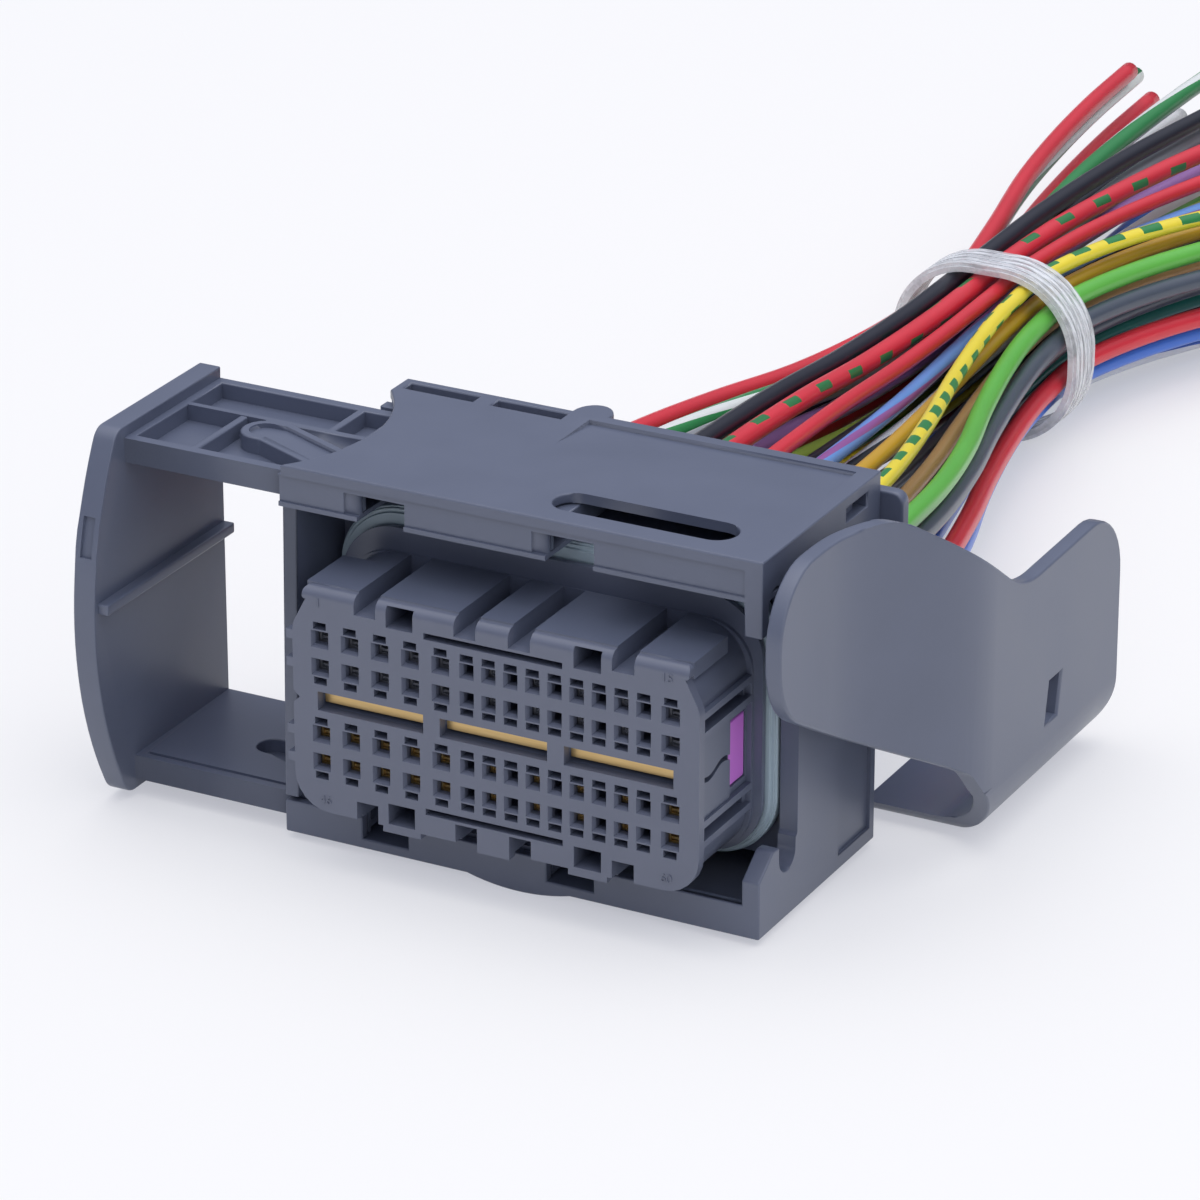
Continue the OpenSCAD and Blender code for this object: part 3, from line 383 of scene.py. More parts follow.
@dataclass(frozen=True)
class WireInsulation(Finish):
    """Extruded PVC insulation: smooth and a little glossy, with a printed or co-extruded tracer."""

    name: str
    slot: str
    colour: str
    tracer_colour: str = "#FFFFFF"
    tracer: Tracer = Tracer.NONE
    tracer_share: float = 0.3
    dash_mm: float = 6.5
    dash_share: float = 0.5
    twist_mm: float = 160.0
    drift_mm: float = 12.0
    drift_detail: float = 3.0
    drift_depth_mm: float = 0.2
    drift_strength: float = 0.2
    tone_span: tuple[float, float] = (0.88, 1.12)
    tracers: float = 2.0
    roughness: float = 0.33
    refraction: float = 1.53

    def mask(self, tree: bpy.types.NodeTree) -> bpy.types.NodeSocket:
        """Draws where the tracer lies, from the wire's own map of turn and length in metres.

        Args:
            tree: the material's node tree.

        Returns:
            The output that is 1 on the tracer and 0 beside it.
        """
        place = add_node(tree, "ShaderNodeUVMap", {}, uv_map=WIRE_MAP)
        parts = add_node(tree, "ShaderNodeSeparateXYZ", {0: place.outputs[0]})
        turn, along = parts.outputs[0], parts.outputs[1]
        twisted = add_node(
            tree,
            "ShaderNodeMath",
            {0: along, 1: per_mm(self.twist_mm), 2: turn},
            operation="MULTIPLY_ADD",
        )
        sides = add_node(
            tree, "ShaderNodeMath", {0: twisted.outputs[0], 1: self.tracers}, operation="MULTIPLY"
        )
        within = add_node(tree, "ShaderNodeMath", {0: sides.outputs[0]}, operation="FRACT")
        band = add_node(
            tree, "ShaderNodeMath", {0: within.outputs[0], 1: self.tracer_share}, operation="LESS_THAN"
        )
        if self.tracer is Tracer.LINE:
            return band.outputs[0]
        steps = add_node(
            tree, "ShaderNodeMath", {0: along, 1: per_mm(self.dash_mm)}, operation="MULTIPLY"
        )
        step = add_node(tree, "ShaderNodeMath", {0: steps.outputs[0]}, operation="FRACT")
        dash = add_node(
            tree, "ShaderNodeMath", {0: step.outputs[0], 1: self.dash_share}, operation="LESS_THAN"
        )
        both = add_node(
            tree, "ShaderNodeMath", {0: band.outputs[0], 1: dash.outputs[0]}, operation="MULTIPLY"
        )
        return both.outputs[0]

    def shade(self, tree: bpy.types.NodeTree) -> bpy.types.Node:
        """Builds the nodes and returns the last shader."""
        place = add_node(tree, "ShaderNodeTexCoord", {}).outputs["Object"]
        drift = add_node(
            tree,
            "ShaderNodeTexNoise",
            {"Vector": place, "Scale": per_mm(self.drift_mm), "Detail": self.drift_detail},
        )
        value = add_node(
            tree,
            "ShaderNodeMapRange",
            {"Value": drift.outputs["Fac"], "To Min": self.tone_span[0], "To Max": self.tone_span[1]},
        )
        tone = add_node(
            tree,
            "ShaderNodeHueSaturation",
            {"Value": value.outputs["Result"], "Color": linear(self.colour)},
        )
        colour = tone.outputs["Color"]
        if self.tracer is not Tracer.NONE:
            mixed = add_node(
                tree,
                "ShaderNodeMix",
                {"Factor": self.mask(tree), MIX_FIRST: colour, MIX_SECOND: linear(self.tracer_colour)},
                data_type="RGBA",
            )
            colour = mixed.outputs[MIX_RESULT]
        relief = add_node(
            tree,
            "ShaderNodeBump",
            {
                "Height": drift.outputs["Fac"],
                "Strength": self.drift_strength,
                "Distance": self.drift_depth_mm * MM,
            },
        )
        return add_node(
            tree,
            "ShaderNodeBsdfPrincipled",
            {
                "Base Color": colour,
                "Roughness": self.roughness,
                "IOR": self.refraction,
                "Normal": relief.outputs["Normal"],
            },
        )


@dataclass(frozen=True)
class StrandedCopper(Finish):
    """Freshly cut strands: the ends show as a bed of small bright discs, with painted shade that darkens the
    copper towards the gaps between them.
    """

    name: str = "stranded_copper"
    colour: str = "#C9845A"
    painted_gap_shade: str = "#5A3220"
    strand_mm: float = 0.32
    roughness: float = 0.35

    def shade(self, tree: bpy.types.NodeTree) -> bpy.types.Node:
        """Builds the nodes and returns the last shader."""
        place = add_node(tree, "ShaderNodeTexCoord", {}).outputs["Object"]
        strands = add_node(tree, "ShaderNodeTexVoronoi", {"Vector": place, "Scale": per_mm(self.strand_mm)})
        # Painted shade: the copper darkens towards the edge of each strand's cell, standing in for the
        # crevices between strands.
        tone = add_node(
            tree,
            "ShaderNodeMix",
            {
                "Factor": strands.outputs["Distance"],
                MIX_FIRST: linear(self.colour),
                MIX_SECOND: linear(self.painted_gap_shade),
            },
            data_type="RGBA",
        )
        return add_node(
            tree,
            "ShaderNodeBsdfPrincipled",
            {"Base Color": tone.outputs[MIX_RESULT], "Metallic": 1.0, "Roughness": self.roughness},
        )


@dataclass(frozen=True)
class StudioPaper(Finish):
    """Matt white paper that glows a little to the eye, so that it keeps only the object's faint shadow."""

    name: str = "studio_paper"
    colour: str = "#FDFAF1"
    glow_colour: str = "#F2F4FF"
    glow_share: float = 0.5
    fibre_mm: float = 2.0
    fibre_depth_mm: float = 0.05
    fibre_strength: float = 0.05
    roughness: float = 0.9

    def shade(self, tree: bpy.types.NodeTree) -> bpy.types.Node:
        """Builds the nodes and returns the last shader."""
        place = add_node(tree, "ShaderNodeTexCoord", {}).outputs["Object"]
        fibre = add_node(tree, "ShaderNodeTexNoise", {"Vector": place, "Scale": per_mm(self.fibre_mm)})
        relief = add_node(
            tree,
            "ShaderNodeBump",
            {
                "Height": fibre.outputs["Fac"],
                "Strength": self.fibre_strength,
                "Distance": self.fibre_depth_mm * MM,
            },
        )
        lit = add_node(
            tree,
            "ShaderNodeBsdfPrincipled",
            {
                "Base Color": linear(self.colour),
                "Roughness": self.roughness,
                "Normal": relief.outputs["Normal"],
            },
        )
        glow = add_node(tree, "ShaderNodeEmission", {"Color": linear(self.glow_colour), "Strength": 1.0})
        rays = add_node(tree, "ShaderNodeLightPath", {})
        seen = rays.outputs["Is Camera Ray"]
        for kind in ("Is Glossy Ray", "Is Transmission Ray"):
            either = add_node(tree, "ShaderNodeMath", {0: seen, 1: rays.outputs[kind]}, operation="MAXIMUM")
            seen = either.outputs[0]
        share = add_node(tree, "ShaderNodeMath", {0: seen, 1: self.glow_share}, operation="MULTIPLY")
        return add_node(
            tree,
            "ShaderNodeMixShader",
            {0: share.outputs[0], 1: lit.outputs[0], 2: glow.outputs[0]},
        )


HOUSING = MouldedPlastic("glass_filled_nylon", "#5A6175", "#646B80")
GRID = MouldedPlastic("glass_filled_nylon_grid", "#5F6578", "#686E82")
ACETAL = MouldedPlastic("acetal_purple", "#C26CD6", "#CC7ADE")
SEAL = SiliconeRubber("liquid_silicone_blue_grey", "#98AAB8", "#ACBECA")
MAT = SiliconeRubber("liquid_silicone_rust", "#8C3A2C", "#9A4A3A")
BRASS = StampedMetal("stamped_brass", "#D8BC88", "#C0A06A")
CONTACT = StampedMetal("matt_tinned_bronze", "#D4D6DC", "#B9BBC2", roughness=0.6)
PLATED = StampedMetal("brass_flashed_contact", "#F2DCA8", "#DCC088", roughness=0.55)
FILM = StretchFilm()
COPPER = StrandedCopper()
PAPER = StudioPaper()


class Wire(Enum):
    """The insulations in the pigtail."""

    RED = WireInsulation("pvc_red", "wire_red", "#D92F3E")
    RED_GREEN = WireInsulation(
        "pvc_red_green_dashes", "wire_red", "#DC3342", "#2A7A42", Tracer.DASHES, dash_mm=9.0, dash_share=0.4
    )
    GREY = WireInsulation("pvc_grey", "wire_grey", "#8B8E94")
    BLACK = WireInsulation("pvc_black", "wire_black", "#1C1E2B")
    WHITE = WireInsulation("pvc_white", "wire_white", "#E6E7EA")
    WHITE_BLACK = WireInsulation("pvc_white_black_line", "wire_white", "#E2E3E8", "#202127", Tracer.LINE)
    WHITE_GREEN = WireInsulation("pvc_white_green_line", "wire_white", "#E2E6E2", "#2C7A48", Tracer.LINE)
    LIGHT_BLUE = WireInsulation(
        "pvc_light_blue_purple_line", "wire_light_blue", "#6C9BE2", "#96589E", Tracer.LINE
    )
    YELLOW_GREEN = WireInsulation(
        "pvc_yellow_green_dashes", "wire_yellow", "#F2DC3E", "#2A8446", Tracer.DASHES, tracer_share=0.45
    )
    YELLOW = WireInsulation("pvc_yellow", "wire_yellow", "#EBD036")
    GREEN = WireInsulation("pvc_green", "wire_green", "#62B848")
    GREEN_WHITE = WireInsulation("pvc_green_white_line", "wire_green", "#2F8A4C", "#E8ECEA", Tracer.LINE)
    LILAC = WireInsulation("pvc_lilac", "wire_lilac", "#A678BA")
    OLIVE = WireInsulation("pvc_olive", "wire_olive", "#8FA83A")
    MUSTARD = WireInsulation("pvc_mustard", "wire_mustard", "#CFA22A")
    TAN = WireInsulation("pvc_tan", "wire_tan", "#B9925F")
    SLATE = WireInsulation("pvc_slate", "wire_slate", "#4A5260")
    BLUE = WireInsulation("pvc_blue", "wire_blue", "#3A74DC")
    BLUE_WHITE = WireInsulation(
        "pvc_blue_white_line", "wire_white", "#E4E8F2", "#2A5CC0", Tracer.LINE, tracer_share=0.5
    )
    TEAL = WireInsulation("pvc_teal", "wire_teal", "#1C7068")
    MAROON = WireInsulation("pvc_maroon", "wire_maroon", "#7A1C24")
    NAVY = WireInsulation("pvc_navy", "wire_navy", "#22315E")


WIRE_ROWS = (
    (
        Wire.RED, Wire.GREEN_WHITE, Wire.GREY, Wire.BLACK, Wire.RED_GREEN,
        Wire.RED, Wire.LIGHT_BLUE, Wire.MUSTARD, Wire.YELLOW_GREEN, Wire.GREEN,
    ),
    (
        Wire.WHITE_GREEN, Wire.WHITE, Wire.BLACK, Wire.LILAC, Wire.OLIVE,
        Wire.BLACK, Wire.WHITE_BLACK, Wire.BLACK, Wire.TAN, Wire.SLATE,
    ),
    (
        Wire.RED, Wire.BLACK, Wire.RED, Wire.GREEN, Wire.YELLOW,
        Wire.GREY, Wire.BLUE, Wire.TEAL, Wire.SLATE, Wire.RED,
    ),
    (
        Wire.BLACK, Wire.BLUE, Wire.WHITE, Wire.MAROON, Wire.TAN,
        Wire.GREEN, Wire.NAVY, Wire.BLACK, Wire.BLUE_WHITE, Wire.BLUE,
    ),
)


def only_select(piece: bpy.types.Object) -> None:
    """Deselects everything else and makes the piece active.

    Args:
        piece: the object to work on.
    """
    bpy.ops.object.select_all(action="DESELECT")
    piece.select_set(True)
    bpy.context.view_layer.objects.active = piece


def dress(piece: bpy.types.Object, finish: Finish) -> None:
    """Gives the piece one finish all over.

    Args:
        piece: the object to dress.
        finish: its surface finish.
    """
    piece.data.materials.clear()
    piece.data.materials.append(finish.material())


@dataclass(frozen=True)
class Zone:
    """A box in the part's frame whose edges stay sharp, because they leave no room for a radius."""

    low_mm: tuple[float, float, float]
    high_mm: tuple[float, float, float]

    def holds(self, place: Vector) -> bool:
        """Tells whether a place lies in the zone.

        Args:
            place: the place in metres.

        Returns:
            True inside the box.
        """
        return all(low * MM <= at <= high * MM for low, at, high in zip(self.low_mm, place, self.high_mm))


SHARP_ZONES: dict[str, tuple[Zone, ...]] = {
    "outer_shell": (Zone((-30.0, 12.2, -30.0), (30.0, 13.8, 30.0)),),
    "locking_slide": (
        Zone((-20.5, 6.0, -15.2), (-17.5, 8.2, -13.2)),
        Zone((1.5, 8.5, -15.0), (4.0, 12.0, -13.0)),
    ),
    "cable_guide": (
        Zone((23.0, 37.0, -20.0), (38.0, 40.0, -17.0)),
        Zone((31.0, 64.0, -19.0), (34.5, 68.0, -15.5)),
        Zone((32.0, 18.5, 21.5), (35.0, 22.0, 24.0)),
        Zone((36.0, 29.0, -9.5), (40.0, 32.5, -6.5)),
    ),
}


@dataclass
class Housing:
    """The moulded pieces of the plug, each with the small edge radius that a mould leaves."""

    nodes: dict[str, bpy.types.Object]
    edge_mm: float = 0.2
    guide_edge_mm: float = 0.3
    lock_edge_mm: float = 0.35
    seal_edge_mm: float = 0.3
    edge_steps: int = 2
    sharp_deg: float = 35.0
    flat_deg: float = 0.6
    weld_mm: float = 0.0005
    edge_weld_mm: float = 0.03
    sliver_mm: float = 0.004
    room: float = 3.0
    straight_on: float = -0.9
    block_core_mm: tuple[float, float] = (21.4, 8.6)
    block_front_mm: float = 1.25

    def copied(self, node: str, weld_mm: float) -> bpy.types.Object:
        """Copies a solid and merges the corners that its triangles share.

        Args:
            node: the solid's name.
            weld_mm: distance within which corners are merged.

        Returns:
            The copy, selected and active.
        """
        piece = bpy.data.objects.new(node + "_moulded", self.nodes[node].data.copy())
        bpy.context.scene.collection.objects.link(piece)
        only_select(piece)
        bpy.ops.object.mode_set(mode="EDIT")
        bpy.ops.mesh.select_all(action="SELECT")
        bpy.ops.mesh.remove_doubles(threshold=weld_mm * MM)
        bpy.ops.object.mode_set(mode="OBJECT")
        return piece

    def finished(self, piece: bpy.types.Object, node: str, body: str, finish: Finish) -> None:
        """Smooths and dresses a rounded copy and lets it stand for its solid.

        Args:
            piece: the rounded copy.
            node: the solid's name.
            body: the body that carries it.
            finish: its surface finish.
        """
        only_select(piece)
        bpy.ops.object.shade_smooth_by_angle(angle=math.radians(self.sharp_deg))
        bpy.ops.object.modifier_add(type="WEIGHTED_NORMAL")
        flat_faces = piece.modifiers[-1]
        flat_faces.keep_sharp = True
        bpy.ops.object.modifier_apply(modifier=flat_faces.name)
        dress(piece, finish)
        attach(piece, body)
        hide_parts(node)
        LOG.info("%s with %d faces", piece.name, len(piece.data.polygons))

    def round_all(self, piece: bpy.types.Object, edge_mm: float) -> None:
        """Rounds every sharp edge of a copy.

        Args:
            piece: the copy.
            edge_mm: radius of its edges.
        """
        bpy.ops.object.mode_set(mode="EDIT")
        bpy.ops.mesh.dissolve_limited(angle_limit=math.radians(self.flat_deg))
        bpy.ops.object.mode_set(mode="OBJECT")
        bpy.ops.object.modifier_add(type="BEVEL")
        bevel = piece.modifiers[-1]
        bevel.width = edge_mm * MM
        bevel.segments = self.edge_steps
        bevel.limit_method = "ANGLE"
        bevel.angle_limit = math.radians(self.sharp_deg)
        bevel.use_clamp_overlap = True
        bevel.miter_outer = "MITER_ARC"
        bpy.ops.object.modifier_apply(modifier=bevel.name)

    def roomy(self, edge: bmesh.types.BMEdge, edge_mm: float) -> bool:
        """Tells whether a radius on an edge stays clear of the faces and edges beside it.

        Args:
            edge: a sharp edge of a copy.
            edge_mm: the radius.

        Returns:
            True where the faces beside it are wide and the edges at its ends long or in line with it.
        """
        least = self.room * edge_mm * MM
        first, second = (corner.co for corner in edge.verts)
        line = (second - first).normalized()
        for face in edge.link_faces:
            arms = [corner.co - first for corner in face.verts]
            if max((arm - line * arm.dot(line)).length for arm in arms) < least:
                return False
        for corner in edge.verts:
            along = (edge.other_vert(corner).co - corner.co).normalized()
            for other in corner.link_edges:
                way = other.other_vert(corner).co - corner.co
                in_line = other.calc_face_angle(0.0) >= math.radians(self.sharp_deg)
                in_line = in_line and way.normalized().dot(along) < self.straight_on
                if other != edge and way.length < least and not in_line:
                    return False
        return True

    def round_open(self, piece: bpy.types.Object, node: str, edge_mm: float) -> None:
        """Rounds the outward edges of a copy that have room for a radius.

        Args:
            piece: the copy.
            node: the solid's name.
            edge_mm: radius of its edges.
        """
        bpy.context.tool_settings.mesh_select_mode = (False, True, False)
        bpy.ops.object.mode_set(mode="EDIT")
        bpy.ops.mesh.select_all(action="SELECT")
        bpy.ops.mesh.dissolve_limited(angle_limit=math.radians(self.flat_deg))
        bpy.ops.mesh.select_all(action="DESELECT")
        shape = bmesh.from_edit_mesh(piece.data)
        for edge in shape.edges:
            outward = edge.is_convex and edge.calc_face_angle(0.0) >= math.radians(self.sharp_deg)
            kept = any(zone.holds(corner.co) for zone in SHARP_ZONES[node] for corner in edge.verts)
            if outward and not kept and self.roomy(edge, edge_mm):
                edge.select_set(True)
        bmesh.update_edit_mesh(piece.data)
        bpy.ops.mesh.bevel(
            offset=edge_mm * MM, segments=self.edge_steps, clamp_overlap=False, miter_outer="ARC"
        )
        bpy.ops.mesh.select_all(action="SELECT")
        bpy.ops.mesh.dissolve_degenerate(threshold=self.sliver_mm * MM)
        bpy.ops.object.mode_set(mode="OBJECT")

    def in_skin(self, place: Vector) -> bool:
        """Tells whether a place on the block lies in its outer skin and behind the grid.

        Args:
            place: the place in metres.

        Returns:
            True in the skin.
        """
        core_x, core_z = self.block_core_mm
        outside = abs(place.x) > core_x * MM or abs(place.z) > core_z * MM
        return outside and place.y > self.block_front_mm * MM

    def round_skin(self, piece: bpy.types.Object, edge_mm: float) -> None:
        """Rounds the sharp edges of the block's outer skin and leaves its field of cavities as it is.

        Args:
            piece: the block's copy.
            edge_mm: radius of its edges.
        """
        mesh = piece.data
        tools = bpy.context.tool_settings
        tools.mesh_select_mode = (False, False, True)
        bpy.ops.object.mode_set(mode="EDIT")
        bpy.ops.mesh.select_all(action="DESELECT")
        bpy.ops.object.mode_set(mode="OBJECT")
        for face in mesh.polygons:
            face.select = self.in_skin(face.center)
        bpy.ops.object.mode_set(mode="EDIT")
        bpy.ops.mesh.dissolve_limited(angle_limit=math.radians(self.flat_deg))
        tools.mesh_select_mode = (False, True, False)
        bpy.ops.mesh.select_all(action="DESELECT")
        bpy.ops.mesh.edges_select_sharp(sharpness=math.radians(self.sharp_deg))
        bpy.ops.object.mode_set(mode="OBJECT")
        for edge in mesh.edges:
            ends = [mesh.vertices[corner].co for corner in edge.vertices]
            edge.select = edge.select and all(self.in_skin(end) for end in ends)
        bpy.ops.object.mode_set(mode="EDIT")
        bpy.ops.mesh.bevel(
            offset=edge_mm * MM, segments=self.edge_steps, clamp_overlap=True, miter_outer="ARC"
        )
        bpy.ops.object.mode_set(mode="OBJECT")

    def build(self) -> None:
        """Rounds and dresses the moulded pieces and dresses the plain ones."""
        housings = (
            ("outer_shell", ROOT, self.edge_mm),
            ("locking_slide", SLIDE, self.edge_mm),
            ("cable_guide", ROOT, self.guide_edge_mm),
        )
        for node, body, edge_mm in housings:
            piece = self.copied(node, self.edge_weld_mm)
            self.round_open(piece, node, edge_mm)
            self.finished(piece, node, body, HOUSING)
        rounded = (
            ("secondary_lock", LOCK, ACETAL, "lock_plastic", self.lock_edge_mm),
            ("interface_seal", ROOT, SEAL, "seal_silicone", self.seal_edge_mm),
        )
        for node, body, finish, slot, edge_mm in rounded:
            piece = self.copied(node, self.weld_mm)
            self.round_all(piece, edge_mm)
            self.finished(piece, node, body, finish)
        block = self.copied("contact_block", self.weld_mm)
        self.round_skin(block, self.edge_mm)
        self.finished(block, "contact_block", ROOT, HOUSING)
        plain = {
            "rear_retainer": HOUSING,
            "front_grid": GRID,
            "cavity_plugs": SEAL,
            "wire_seal_mat": MAT,
            "shorting_bar_left": BRASS,
            "shorting_bar_middle": BRASS,
            "shorting_bar_right": BRASS,
            "terminals_wide": CONTACT,
            "terminals_narrow": CONTACT,
            "wire_band": FILM,
        }
        for node, finish in plain.items():
            dress(self.nodes[node], finish)
            LOG.info("%s dressed", node)
        for node in ("terminals_wide", "terminals_narrow"):
            self.nodes[node].data.materials.append(PLATED.material())
            for face in self.nodes[node].data.polygons:
                face.material_index = int(face.center.z < 0)


@dataclass
class CavityNumbers:
    """Small raised cavity numbers in the corners of the contact face, as an engraved mould leaves them."""

    labels: tuple[tuple[str, float, float], ...] = (
        ("1", -20.1, 10.9),
        ("15", 19.6, 10.9),
        ("46", -19.6, -11.05),
        ("60", 19.6, -11.05),
    )
    height_mm: float = 1.35
    relief_mm: float = 0.1
    sink_mm: float = 0.05
    curve_steps: int = 4

    def build(self) -> None:
        """Sets each number, joins them and dresses them as the grid."""
        pieces = []
        size = self.height_mm * MM
        for label, across, up in self.labels:
            bpy.ops.object.select_all(action="DESELECT")
            bpy.ops.object.text_add()
            piece = bpy.context.active_object
            piece.data.body = label
            piece.data.align_x = "CENTER"
            piece.data.align_y = "CENTER"
            piece.data.resolution_u = self.curve_steps
            piece.data.extrude = (self.relief_mm + self.sink_mm) / 2 / self.height_mm
            bpy.ops.object.convert(target="MESH")
            piece.scale = (size, size, size)
            piece.rotation_euler = (math.pi / 2, 0.0, 0.0)
            piece.location = Vector((across, (self.sink_mm - self.relief_mm) / 2, up)) * MM
            bpy.ops.object.transform_apply(location=True, rotation=True, scale=True)
            pieces.append(piece)
        only_select(pieces[0])
        for piece in pieces:
            piece.select_set(True)
        bpy.ops.object.join()
        numbers = bpy.context.active_object
        numbers.name = "cavity_numbers"
        dress(numbers, GRID)
        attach(numbers, ROOT)
        LOG.info("%s with %d faces", numbers.name, len(numbers.data.polygons))


@dataclass(frozen=True)
class Station:
    """One station of the pigtail, in mm, with the shares to which it is gathered and fanned."""

    back: float
    across: float
    up: float
    gathered_across: float
    gathered_up: float
    fanned: float


PIGTAIL_STATIONS = (
    Station(20, 0, 0, 0, 0, 0),
    Station(31, 0, 0, 0, 0, 0),
    Station(42, 0, 0, 0, 0.05, 0),
    Station(56, -0.8, -0.4, 0.03, 0.2, 0),
    Station(72, -2.3, -1.9, 0.14, 0.5, 0),
    Station(90, -4.6, -4.2, 0.36, 0.8, 0),
    Station(108, -6.9, -6.6, 0.66, 0.96, 0),
    Station(125, -8.5, -7.8, 0.9, 1, 0),
    Station(137, -9.3, -8.1, 1, 1, 0),
    Station(150, -9.5, -8.1, 1, 1, 0),
    Station(168, -8.3, -8.2, 1, 1, 0.13),
    Station(190, -4.4, -8.4, 1, 1, 0.38),
    Station(208, 0.2, -8.7, 1, 1, 0.6),
    Station(226, 5.2, -9, 1, 1, 0.81),
    Station(243, 10.3, -9.3, 1, 1, 1),
)

# Each wire's half steps across and layer in the tied bundle, row by row
BUNDLE_PLACES = (
    ((-5, 1), (-3, 1), (-1, 1), (-3, 0), (-1, 0), (1, 0), (1, 1), (3, 1), (3, 0), (5, 1)),
    ((-6, 2), (-5, 3), (-4, 2), (-2, 2), (-1, 3), (0, 2), (2, 2), (3, 3), (4, 2), (6, 2)),
    ((-6, 4), (-4, 4), (-3, 3), (-2, 4), (0, 4), (1, 3), (2, 4), (4, 4), (5, 3), (6, 4)),
    ((-5, 5), (-3, 6), (-3, 5), (-1, 5), (-1, 6), (1, 6), (1, 5), (3, 5), (3, 6), (5, 5)),
)


@dataclass
class Pigtail:
    """Forty insulated wires that leave the block in rows, are tied and then fan out to cut ends."""

    columns_mm: tuple[float, ...]
    rows_mm: tuple[float, ...] = (6.85, 3.75, -3.75, -6.85)
    thick_columns: frozenset[int] = frozenset((0, 1, 2, 3, 4, 9))
    stations: tuple[Station, ...] = PIGTAIL_STATIONS
    thick_d: float = 2.4
    thin_d: float = 1.9
    bundle_half_step: float = 1.55
    bundle_layers: tuple[float, ...] = (8.2, 5.3, 2.65, 0.0, -2.65, -5.3, -8.2)
    fan_pitch: float = 7.5
    fan_ragged: float = 1.5
    ragged_stride: int = 7
    ragged_count: int = 11
    exit_back: float = 30.2
    sides: int = 16
    steps: int = 8
    core_share: float = 0.6

    def line(self, row: int, place: int) -> list[Vector]:
        """Works out a wire's stations from its row and its place in the row.

        Args:
            row: the wire's row, counted from the top.
            place: its place in the row, counted from the left.

        Returns:
            Its points in metres.
        """
        count = len(self.columns_mm)
        number = row * count + place
        off = place - (count - 1) / 2
        half_steps, layer = BUNDLE_PLACES[row][place]
        tied_across, tied_up = half_steps * self.bundle_half_step, self.bundle_layers[layer]
        rank = (number * self.ragged_stride) % self.ragged_count - self.ragged_count // 2
        ragged = rank * self.fan_ragged
        return [
            Vector(
                (
                    s.across
                    + self.columns_mm[place] * (1 - s.gathered_across)
                    + tied_across * s.gathered_across
                    + off * self.fan_pitch * s.fanned,
                    s.back + ragged * s.fanned,
                    s.up + self.rows_mm[row] * (1 - s.gathered_up) + tied_up * s.gathered_up,
                )
            )
            * MM
            for s in self.stations
        ]

    def smooth(self, points: list[Vector]) -> list[Vector]:
        """Runs one smooth curve through the points.

        Args:
            points: the wire's stations.

        Returns:
            Closely spaced points along the curve.
        """
        last = len(points) - 1
        slopes = []
        for k in range(last + 1):
            before, after = points[max(k - 1, 0)], points[min(k + 1, last)]
            slopes.append((after - before) / (after.y - before.y))
        curve = []
        for k in range(last):
            p, q = points[k], points[k + 1]
            reach = q.y - p.y
            for step in range(self.steps):
                t = step / self.steps
                ease = t * t * (3 - 2 * t)
                bend_p = t * (1 - t) ** 2 * reach
                bend_q = t * t * (t - 1) * reach
                curve.append(p * (1 - ease) + q * ease + slopes[k] * bend_p + slopes[k + 1] * bend_q)
        curve.append(points[last].copy())
        return curve

    def tube(self, name: str, curve: list[Vector], radius: float) -> bpy.types.Object:
        """Sweeps a round tube with a copper core at its cut end and a map of turn and length.

        Args:
            name: the piece's name.
            curve: the centre line in metres.
            radius: the tube's radius in metres.

        Returns:
            The wire.
        """
        verts: list[Vector] = []
        faces: list[tuple[int, ...]] = []
        lengths = [0.0]
        for k in range(1, len(curve)):
            lengths.append(lengths[-1] + (curve[k] - curve[k - 1]).length)
        rings = [(curve[k], radius, lengths[k]) for k in range(len(curve))]
        rings.append((curve[-1], radius * self.core_share, lengths[-1]))
        last = len(curve) - 1
        for k, (centre, size, _) in enumerate(rings):
            at = min(k, last)
            along = (curve[min(at + 1, last)] - curve[max(at - 1, 0)]).normalized()
            side = along.cross(Vector((0, 0, 1))).normalized()
            up = side.cross(along)
            for s in range(self.sides):
                turn = 2 * math.pi * s / self.sides
                verts.append(centre + (side * math.cos(turn) + up * math.sin(turn)) * size)
        for k in range(len(rings) - 1):
            for s in range(self.sides):
                a, b = k * self.sides + s, k * self.sides + (s + 1) % self.sides
                faces.append((a, a + self.sides, b + self.sides, b))
        faces.append(tuple(range(self.sides)))
        faces.append(tuple((len(rings) - 1) * self.sides + s for s in reversed(range(self.sides))))
        mesh = bpy.data.meshes.new(name)
        mesh.from_pydata([tuple(v) for v in verts], [], faces)
        layer = mesh.uv_layers.new(name=WIRE_MAP)
        for face in mesh.polygons:
            if len(face.vertices) != 4:
                continue
            ring, s = divmod(face.vertices[0], self.sides)
            turns = (s, s, s + 1, s + 1)
            steps = (ring, ring + 1, ring + 1, ring)
            for loop, turn, step in zip(face.loop_indices, turns, steps):
                layer.data[loop].uv = (turn / self.sides, rings[step][2])
        mesh.shade_smooth()
        mesh.polygons[-1].material_index = 1
        mesh.polygons[-1].use_smooth = False
        piece = bpy.data.objects.new(name, mesh)
        bpy.context.scene.collection.objects.link(piece)
        return piece

    def build(self, band: bpy.types.Object) -> None:
        """Builds and dresses every wire.

        Args:
            band: the tie round the bundle; not used.
        """
        for row, insulations in enumerate(WIRE_ROWS):
            for place, insulation in enumerate(insulations):
                number = row * len(insulations) + place + 1
                thick = place in self.thick_columns
                d = (self.thick_d if thick else self.thin_d) * MM
                curve = self.smooth(self.line(row, place))
                piece = self.tube(f"insulated_wire_{number:02d}", curve, d / 2)
                finish = insulation.value
                piece.data.materials.append(finish.material())
                piece.data.materials.append(COPPER.material())
                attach(piece, ROOT)
                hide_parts(f"wire_{number:02d}")


@dataclass(frozen=True)
class Softbox:
    """A square lamp, with its place and side in metres and its power in watts."""

    name: str
    place: tuple[float, float, float]
    side: float
    power: float


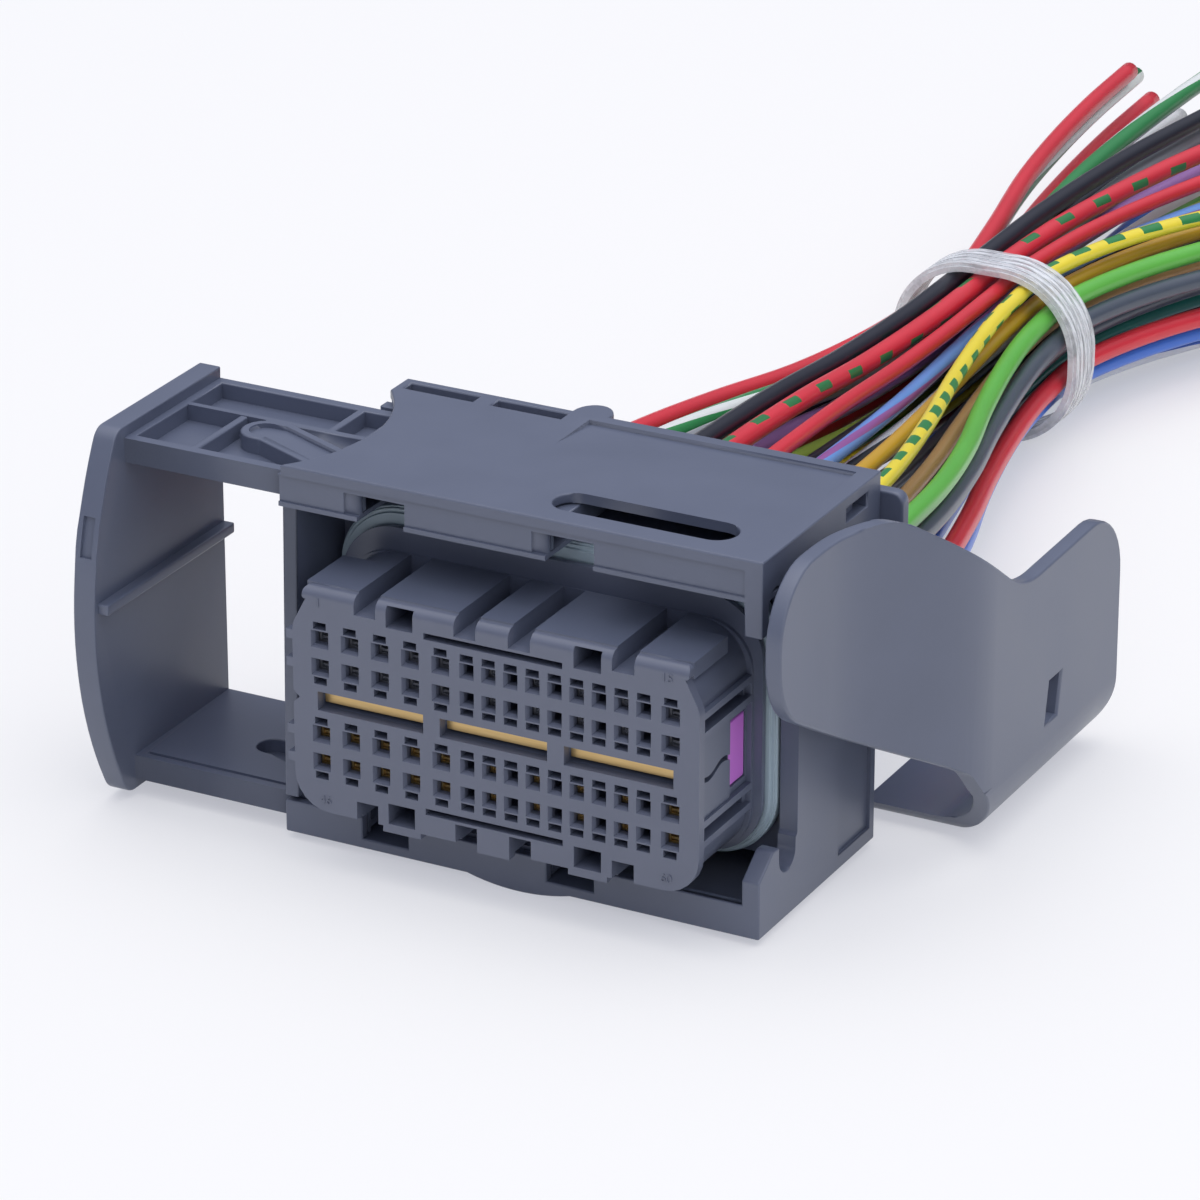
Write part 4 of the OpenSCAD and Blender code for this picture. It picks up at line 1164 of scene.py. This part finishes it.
@dataclass
class Studio:
    """Pale floor, soft lamps and the camera."""

    floor_z: float
    floor_reach: float = 6.0
    aim: tuple[float, float, float] = (0.0, 0.06, 0.0)
    lamps: tuple[Softbox, ...] = (
        Softbox("top_softbox", (0.1, 0.15, 0.9), 0.9, 1.3),
        Softbox("right_softbox", (0.75, -0.55, 0.5), 0.6, 1.1),
    )
    camera_mm: tuple[float, float, float] = (264.22, -478.85, 253.45)
    yaw_deg: float = 27.764
    pitch_deg: float = 23.533
    lens_mm: float = 180.0
    sensor_mm: float = 36.0
    sight: float = 20.0
    zenith_colour: str = "#FAFAFC"
    horizon_colour: str = "#CDD4EA"
    zenith_strength: float = 2.0
    horizon_strength: float = 0.17
    sky_falloff: float = 2.0

    def floor(self) -> None:
        """Lays a wide paper floor."""
        bpy.ops.object.select_all(action="DESELECT")
        bpy.ops.mesh.primitive_plane_add(size=self.floor_reach, location=(0, 0, self.floor_z))
        paper = bpy.context.active_object
        paper.name = "paper_floor"
        bpy.ops.object.transform_apply(location=True, rotation=True, scale=True)
        dress(paper, PAPER)
        paper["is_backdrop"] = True

    def world(self) -> None:
        """Sets a pale surround that is bright overhead and dim and blue at the horizon."""
        world = bpy.data.worlds.new("pale_surround")
        bpy.context.scene.world = world
        world.use_nodes = True
        tree = world.node_tree
        tree.nodes.clear()
        look = add_node(tree, "ShaderNodeTexCoord", {}).outputs["Generated"]
        parts = add_node(tree, "ShaderNodeSeparateXYZ", {0: look})
        height = add_node(tree, "ShaderNodeMath", {0: parts.outputs["Z"], 1: 0.0}, operation="MAXIMUM")
        rise = add_node(
            tree, "ShaderNodeMath", {0: height.outputs[0], 1: self.sky_falloff}, operation="POWER"
        )
        tone = add_node(
            tree,
            "ShaderNodeMix",
            {
                "Factor": rise.outputs[0],
                MIX_FIRST: linear(self.horizon_colour),
                MIX_SECOND: linear(self.zenith_colour),
            },
            data_type="RGBA",
        )
        level = add_node(
            tree,
            "ShaderNodeMapRange",
            {"Value": rise.outputs[0], "To Min": self.horizon_strength, "To Max": self.zenith_strength},
        )
        sky = add_node(
            tree,
            "ShaderNodeBackground",
            {"Color": tone.outputs[MIX_RESULT], "Strength": level.outputs["Result"]},
        )
        add_node(tree, "ShaderNodeOutputWorld", {"Surface": sky.outputs[0]})

    def lamp(self, box: Softbox) -> None:
        """Hangs one soft box and turns it to the object.

        Args:
            box: the lamp's size, place and power.
        """
        data = bpy.data.lights.new(box.name, "AREA")
        data.size = box.side
        data.energy = box.power
        lamp = bpy.data.objects.new(box.name, data)
        lamp.location = box.place
        way = Vector(self.aim) - Vector(box.place)
        lamp.rotation_euler = way.to_track_quat("-Z", "Y").to_euler()
        bpy.context.scene.collection.objects.link(lamp)

    def camera(self) -> None:
        """Stands the camera at the viewing angle."""
        data = bpy.data.cameras.new("view_camera")
        data.lens = self.lens_mm
        data.sensor_width = self.sensor_mm
        data.sensor_fit = "HORIZONTAL"
        data.clip_end = self.sight
        view = bpy.data.objects.new("view_camera", data)
        view.location = Vector(self.camera_mm) * MM
        view.rotation_euler = (math.radians(90 - self.pitch_deg), 0.0, math.radians(self.yaw_deg))
        bpy.context.scene.collection.objects.link(view)
        bpy.context.scene.camera = view

    def build(self) -> None:
        """Builds the whole set."""
        self.floor()
        self.world()
        for box in self.lamps:
            self.lamp(box)
        self.camera()
        bpy.context.scene.view_settings.view_transform = "Standard"


def boxes() -> list[list[float]]:
    """Measures all that shows.

    Returns:
        The lowest and the highest corner, as plain lists.
    """
    return [list(corner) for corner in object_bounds()]


def first_end(node: str) -> float:
    """Measures where a wire's first end lies across the block.

    Args:
        node: the wire's solid.

    Returns:
        The place in millimetres.
    """
    mesh = bpy.data.objects[node].data
    first = min(v.co.y for v in mesh.vertices)
    ends = [v.co.x for v in mesh.vertices if v.co.y - first < MM]
    return (min(ends) + max(ends)) / 2 / MM


def main() -> None:
    """Builds the connector's looks and its studio."""
    logging.basicConfig(level=logging.INFO, format="%(name)s: %(message)s")
    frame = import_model()
    cad_box = boxes()
    nodes = frame["nodes"]
    columns = tuple(first_end(f"wire_{place + 1:02d}") for place in range(len(WIRE_ROWS[0])))
    Studio(floor_z=cad_box[0][2]).build()
    Pigtail(columns).build(nodes["wire_band"])
    Housing(nodes).build()
    CavityNumbers().build()


if __name__ == "__main__":
    main()
